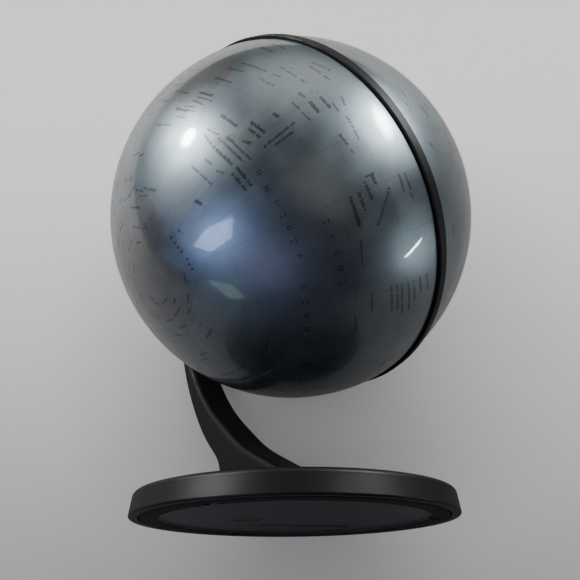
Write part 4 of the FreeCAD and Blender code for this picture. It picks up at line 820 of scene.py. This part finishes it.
def one_sided(name, color, rough=0.9, lift=0.0):
    """Pale matt surface, seen only from its front; with lift it also glows with painted light, with painted contact
    shade from ambient occlusion.
    """
    m, nt, out = new_mat(name)
    g = nt.nodes.new("ShaderNodeNewGeometry")
    d = node(nt, "ShaderNodeBsdfDiffuse", ins={"Color": (*color, 1.0), "Roughness": rough})
    t = nt.nodes.new("ShaderNodeBsdfTransparent")
    front = d.outputs[0]
    if lift:
        # painted light: a glow seen by the camera and, weaker towards +X, in gloss reflections, dimmer towards the
        # bottom
        lp_ = nt.nodes.new("ShaderNodeLightPath")
        e = node(nt, "ShaderNodeEmission", ins={"Color": (*color, 1.0)})
        pz = nt.nodes.new("ShaderNodeSeparateXYZ")
        nt.links.new(g.outputs["Position"], pz.inputs[0])
        fade = nt.nodes.new("ShaderNodeMapRange")
        fade.interpolation_type = "SMOOTHSTEP"
        fade.inputs["From Min"].default_value = -0.12
        fade.inputs["From Max"].default_value = 0.28
        fade.inputs["To Min"].default_value = lift * 0.22
        fade.inputs["To Max"].default_value = lift
        nt.links.new(pz.outputs["Z"], fade.inputs["Value"])
        # painted contact shade: ambient occlusion darkens the glow near the object
        ao = node(nt, "ShaderNodeAmbientOcclusion", samples=8, ins={"Distance": 0.085})
        side = nt.nodes.new("ShaderNodeMapRange")
        side.interpolation_type = "SMOOTHSTEP"
        side.inputs["From Min"].default_value = -0.75
        side.inputs["From Max"].default_value = 0.45
        side.inputs["To Min"].default_value = 0.70
        side.inputs["To Max"].default_value = 0.03
        nt.links.new(math_(nt, "SUBTRACT", pz.outputs["X"], math_(nt, "MULTIPLY", pz.outputs["Z"], 0.9)), side.inputs["Value"])
        both = math_(nt, "ADD", lp_.outputs["Is Camera Ray"], math_(nt, "MULTIPLY", lp_.outputs["Is Glossy Ray"], side.outputs[0]))
        amount = math_(nt, "MULTIPLY", math_(nt, "MULTIPLY", fade.outputs[0], math_(nt, "POWER", ao.outputs["AO"], 0.9)), both)
        nt.links.new(amount, e.inputs["Strength"])
        ad = nt.nodes.new("ShaderNodeAddShader")
        nt.links.new(front, ad.inputs[0])
        nt.links.new(e.outputs[0], ad.inputs[1])
        front = ad.outputs[0]
    mx = nt.nodes.new("ShaderNodeMixShader")
    nt.links.new(g.outputs["Backfacing"], mx.inputs[0])
    nt.links.new(front, mx.inputs[1])
    nt.links.new(t.outputs[0], mx.inputs[2])
    nt.links.new(mx.outputs[0], out.inputs[0])
    return m


def card(name, direction, dist, w, h, strength, color=(1, 1, 1), soft=0.5, target=None, roll_up=(0, 0, 1), diffuse=False):
    """A soft-edged light panel, seen only in light and reflections."""
    m, nt, out = new_mat(name + "_glow")
    tc = nt.nodes.new("ShaderNodeTexCoord")
    sb = nt.nodes.new("ShaderNodeVectorMath")
    sb.operation = "SUBTRACT"
    sb.inputs[1].default_value = (0.5, 0.5, 0.0)
    nt.links.new(tc.outputs["UV"], sb.inputs[0])
    ln = nt.nodes.new("ShaderNodeVectorMath")
    ln.operation = "LENGTH"
    nt.links.new(sb.outputs[0], ln.inputs[0])
    mr = nt.nodes.new("ShaderNodeMapRange")
    mr.interpolation_type = "SMOOTHSTEP"
    mr.inputs["From Min"].default_value = 0.5 * (1 - soft)
    mr.inputs["From Max"].default_value = 0.5
    mr.inputs["To Min"].default_value = strength
    mr.inputs["To Max"].default_value = 0.0
    nt.links.new(ln.outputs["Value"], mr.inputs["Value"])
    g = nt.nodes.new("ShaderNodeNewGeometry")
    e = node(nt, "ShaderNodeEmission", ins={"Color": (*color, 1.0)})
    nt.links.new(mr.outputs[0], e.inputs["Strength"])
    t = nt.nodes.new("ShaderNodeBsdfTransparent")
    ad = nt.nodes.new("ShaderNodeAddShader")
    nt.links.new(e.outputs[0], ad.inputs[0])
    nt.links.new(t.outputs[0], ad.inputs[1])
    mx = nt.nodes.new("ShaderNodeMixShader")
    nt.links.new(g.outputs["Backfacing"], mx.inputs[0])
    nt.links.new(ad.outputs[0], mx.inputs[1])
    nt.links.new(t.outputs[0], mx.inputs[2])
    nt.links.new(mx.outputs[0], out.inputs[0])
    d = np.array(direction, float)
    d /= np.linalg.norm(d)
    c = (CEN if target is None else np.array(target)) + d * dist
    ob = stage_plane(name, tuple(c), tuple(-d), roll_up, w, h, m)
    ob.visible_camera = False
    ob.visible_shadow = False
    ob.visible_diffuse = diffuse
    return ob


BACK_N = np.array([-0.650, -0.748, 0.137])
BACK_N /= np.linalg.norm(BACK_N)
pale = one_sided("pale_cloth", (0.70, 0.685, 0.67), lift=1.45)
# the pale sheet behind, just touching the ball, the arm and the base rim
support = CEN - BACK_N * 0.0768
sheet = stage_plane("backdrop_sheet", tuple(support), tuple(BACK_N), (0, 0, 1), 3.2, 3.2, pale)
floor_mat = one_sided("pale_floor", (0.70, 0.69, 0.68), lift=1.25)
floor = stage_plane("floor", (0, 0, -0.0002), (0, 0, 1), (0, 1, 0), 6.0, 6.0, floor_mat)
floor.visible_diffuse = False
floor.visible_glossy = False
floor.visible_shadow = False
floor.visible_transmission = False

def pane(name, dirs, dist, strength, color):
    """A hard-edged bright pane whose corners lie in the given directions from the ball."""
    m, nt, out = new_mat(name + "_glow")
    g = nt.nodes.new("ShaderNodeNewGeometry")
    e = node(nt, "ShaderNodeEmission", ins={"Color": (*color, 1.0), "Strength": strength})
    t = nt.nodes.new("ShaderNodeBsdfTransparent")
    mx = nt.nodes.new("ShaderNodeMixShader")
    nt.links.new(g.outputs["Backfacing"], mx.inputs[0])
    nt.links.new(e.outputs[0], mx.inputs[1])
    nt.links.new(t.outputs[0], mx.inputs[2])
    nt.links.new(mx.outputs[0], out.inputs[0])
    pts = [CEN + np.array(d_) / np.linalg.norm(d_) * dist for d_ in dirs]
    c = np.mean(pts, 0)
    nrm_ = np.cross(pts[1] - pts[0], pts[2] - pts[0])
    if nrm_ @ (CEN - c) < 0:
        pts = pts[::-1]
    ob = mesh_object(name, pts, [tuple(range(len(pts)))], m, smooth=False)
    ob.visible_camera = False
    ob.visible_shadow = False
    ob.visible_diffuse = False
    return ob


card("key_left", (-0.878, 0.05, 0.477), 0.9, 0.17, 0.19, 150.0, (1.0, 0.99, 0.97), 0.5)
card("key_left_wide", (-0.93, 0.15, 0.33), 0.95, 1.0, 1.0, 1.45, (0.90, 0.97, 1.0), 0.95)
card("key_right", (0.33, -0.755, 0.567), 0.9, 0.20, 0.38, 88.0, (0.97, 1.0, 0.99), 0.7)
card("strip_right", (0.705, -0.618, -0.325), 0.45, 0.013, 0.13, 60.0, (0.85, 0.94, 1.0), 0.3, roll_up=(0.44, 0.03, 0.90))
card("strip_glow", (0.70, -0.62, -0.34), 0.5, 0.09, 0.14, 0.5, (0.70, 0.86, 1.0), 0.95, roll_up=(0.44, 0.03, 0.90))
pane("window_left", [(-0.888, 0.17, -0.427), (-0.927, -0.046, -0.371), (-0.863, -0.342, -0.373), (-0.815, -0.235, -0.529), (-0.836, 0.015, -0.548)], 0.9, 9.0, (0.46, 0.58, 1.0))
pane("window_low", [(-0.700, 0.230, -0.660), (-0.600, 0.05, -0.80), (-0.45, 0.05, -0.89), (-0.52, 0.18, -0.83)], 0.9, 1.3, (0.75, 1.0, 0.92))
card("ceiling", (-0.25, -0.45, 0.86), 1.4, 2.0, 2.0, 1.15, (1.0, 0.99, 0.97), 0.9, diffuse=True)
card("fill_low", (-0.50, -0.36, -0.79), 1.1, 1.1, 0.9, 0.55, (0.60, 0.57, 1.0), 0.95, diffuse=True)
card("fill_front", (-0.30, -0.93, -0.15), 1.2, 1.0, 1.0, 0.42, (1.0, 0.86, 0.78), 0.95, diffuse=True)

world = bpy.data.worlds.new("studio")
bpy.context.scene.world = world
world.use_nodes = True
wn = world.node_tree
wn.nodes.clear()
wo = wn.nodes.new("ShaderNodeOutputWorld")
lp = wn.nodes.new("ShaderNodeLightPath")
b_cam = wn.nodes.new("ShaderNodeBackground")
b_cam.inputs[0].default_value = (0.80, 0.79, 0.78, 1.0)
b_cam.inputs[1].default_value = 0.75
b_env = wn.nodes.new("ShaderNodeBackground")
b_env.inputs[0].default_value = (0.85, 0.84, 1.0, 1.0)
b_env.inputs[1].default_value = 0.035
wm = wn.nodes.new("ShaderNodeMixShader")
wn.links.new(lp.outputs["Is Camera Ray"], wm.inputs[0])
wn.links.new(b_env.outputs[0], wm.inputs[1])
wn.links.new(b_cam.outputs[0], wm.inputs[2])
wn.links.new(wm.outputs[0], wo.inputs[0])

# ------------------------------------------------------------------ camera
cam_d = bpy.data.cameras.new("camera")
cam_d.sensor_width = 36.0
cam_d.lens = 36.0 * 760.0 / 580.0
cam_d.clip_start = 0.01
cam = bpy.data.objects.new("camera", cam_d)
bpy.context.scene.collection.objects.link(cam)
right = Vector((0.8375851, -0.5461887, -0.0113627))
upv = Vector((-0.2106610, -0.3421014, 0.9157448))
backv = Vector((-0.5040566, -0.7646206, -0.4015997))
rot = Matrix((right, upv, backv)).transposed().to_4x4()
cam.matrix_world = Matrix.Translation((-0.1575217, -0.2377338, -0.0339280)) @ rot
bpy.context.scene.camera = cam
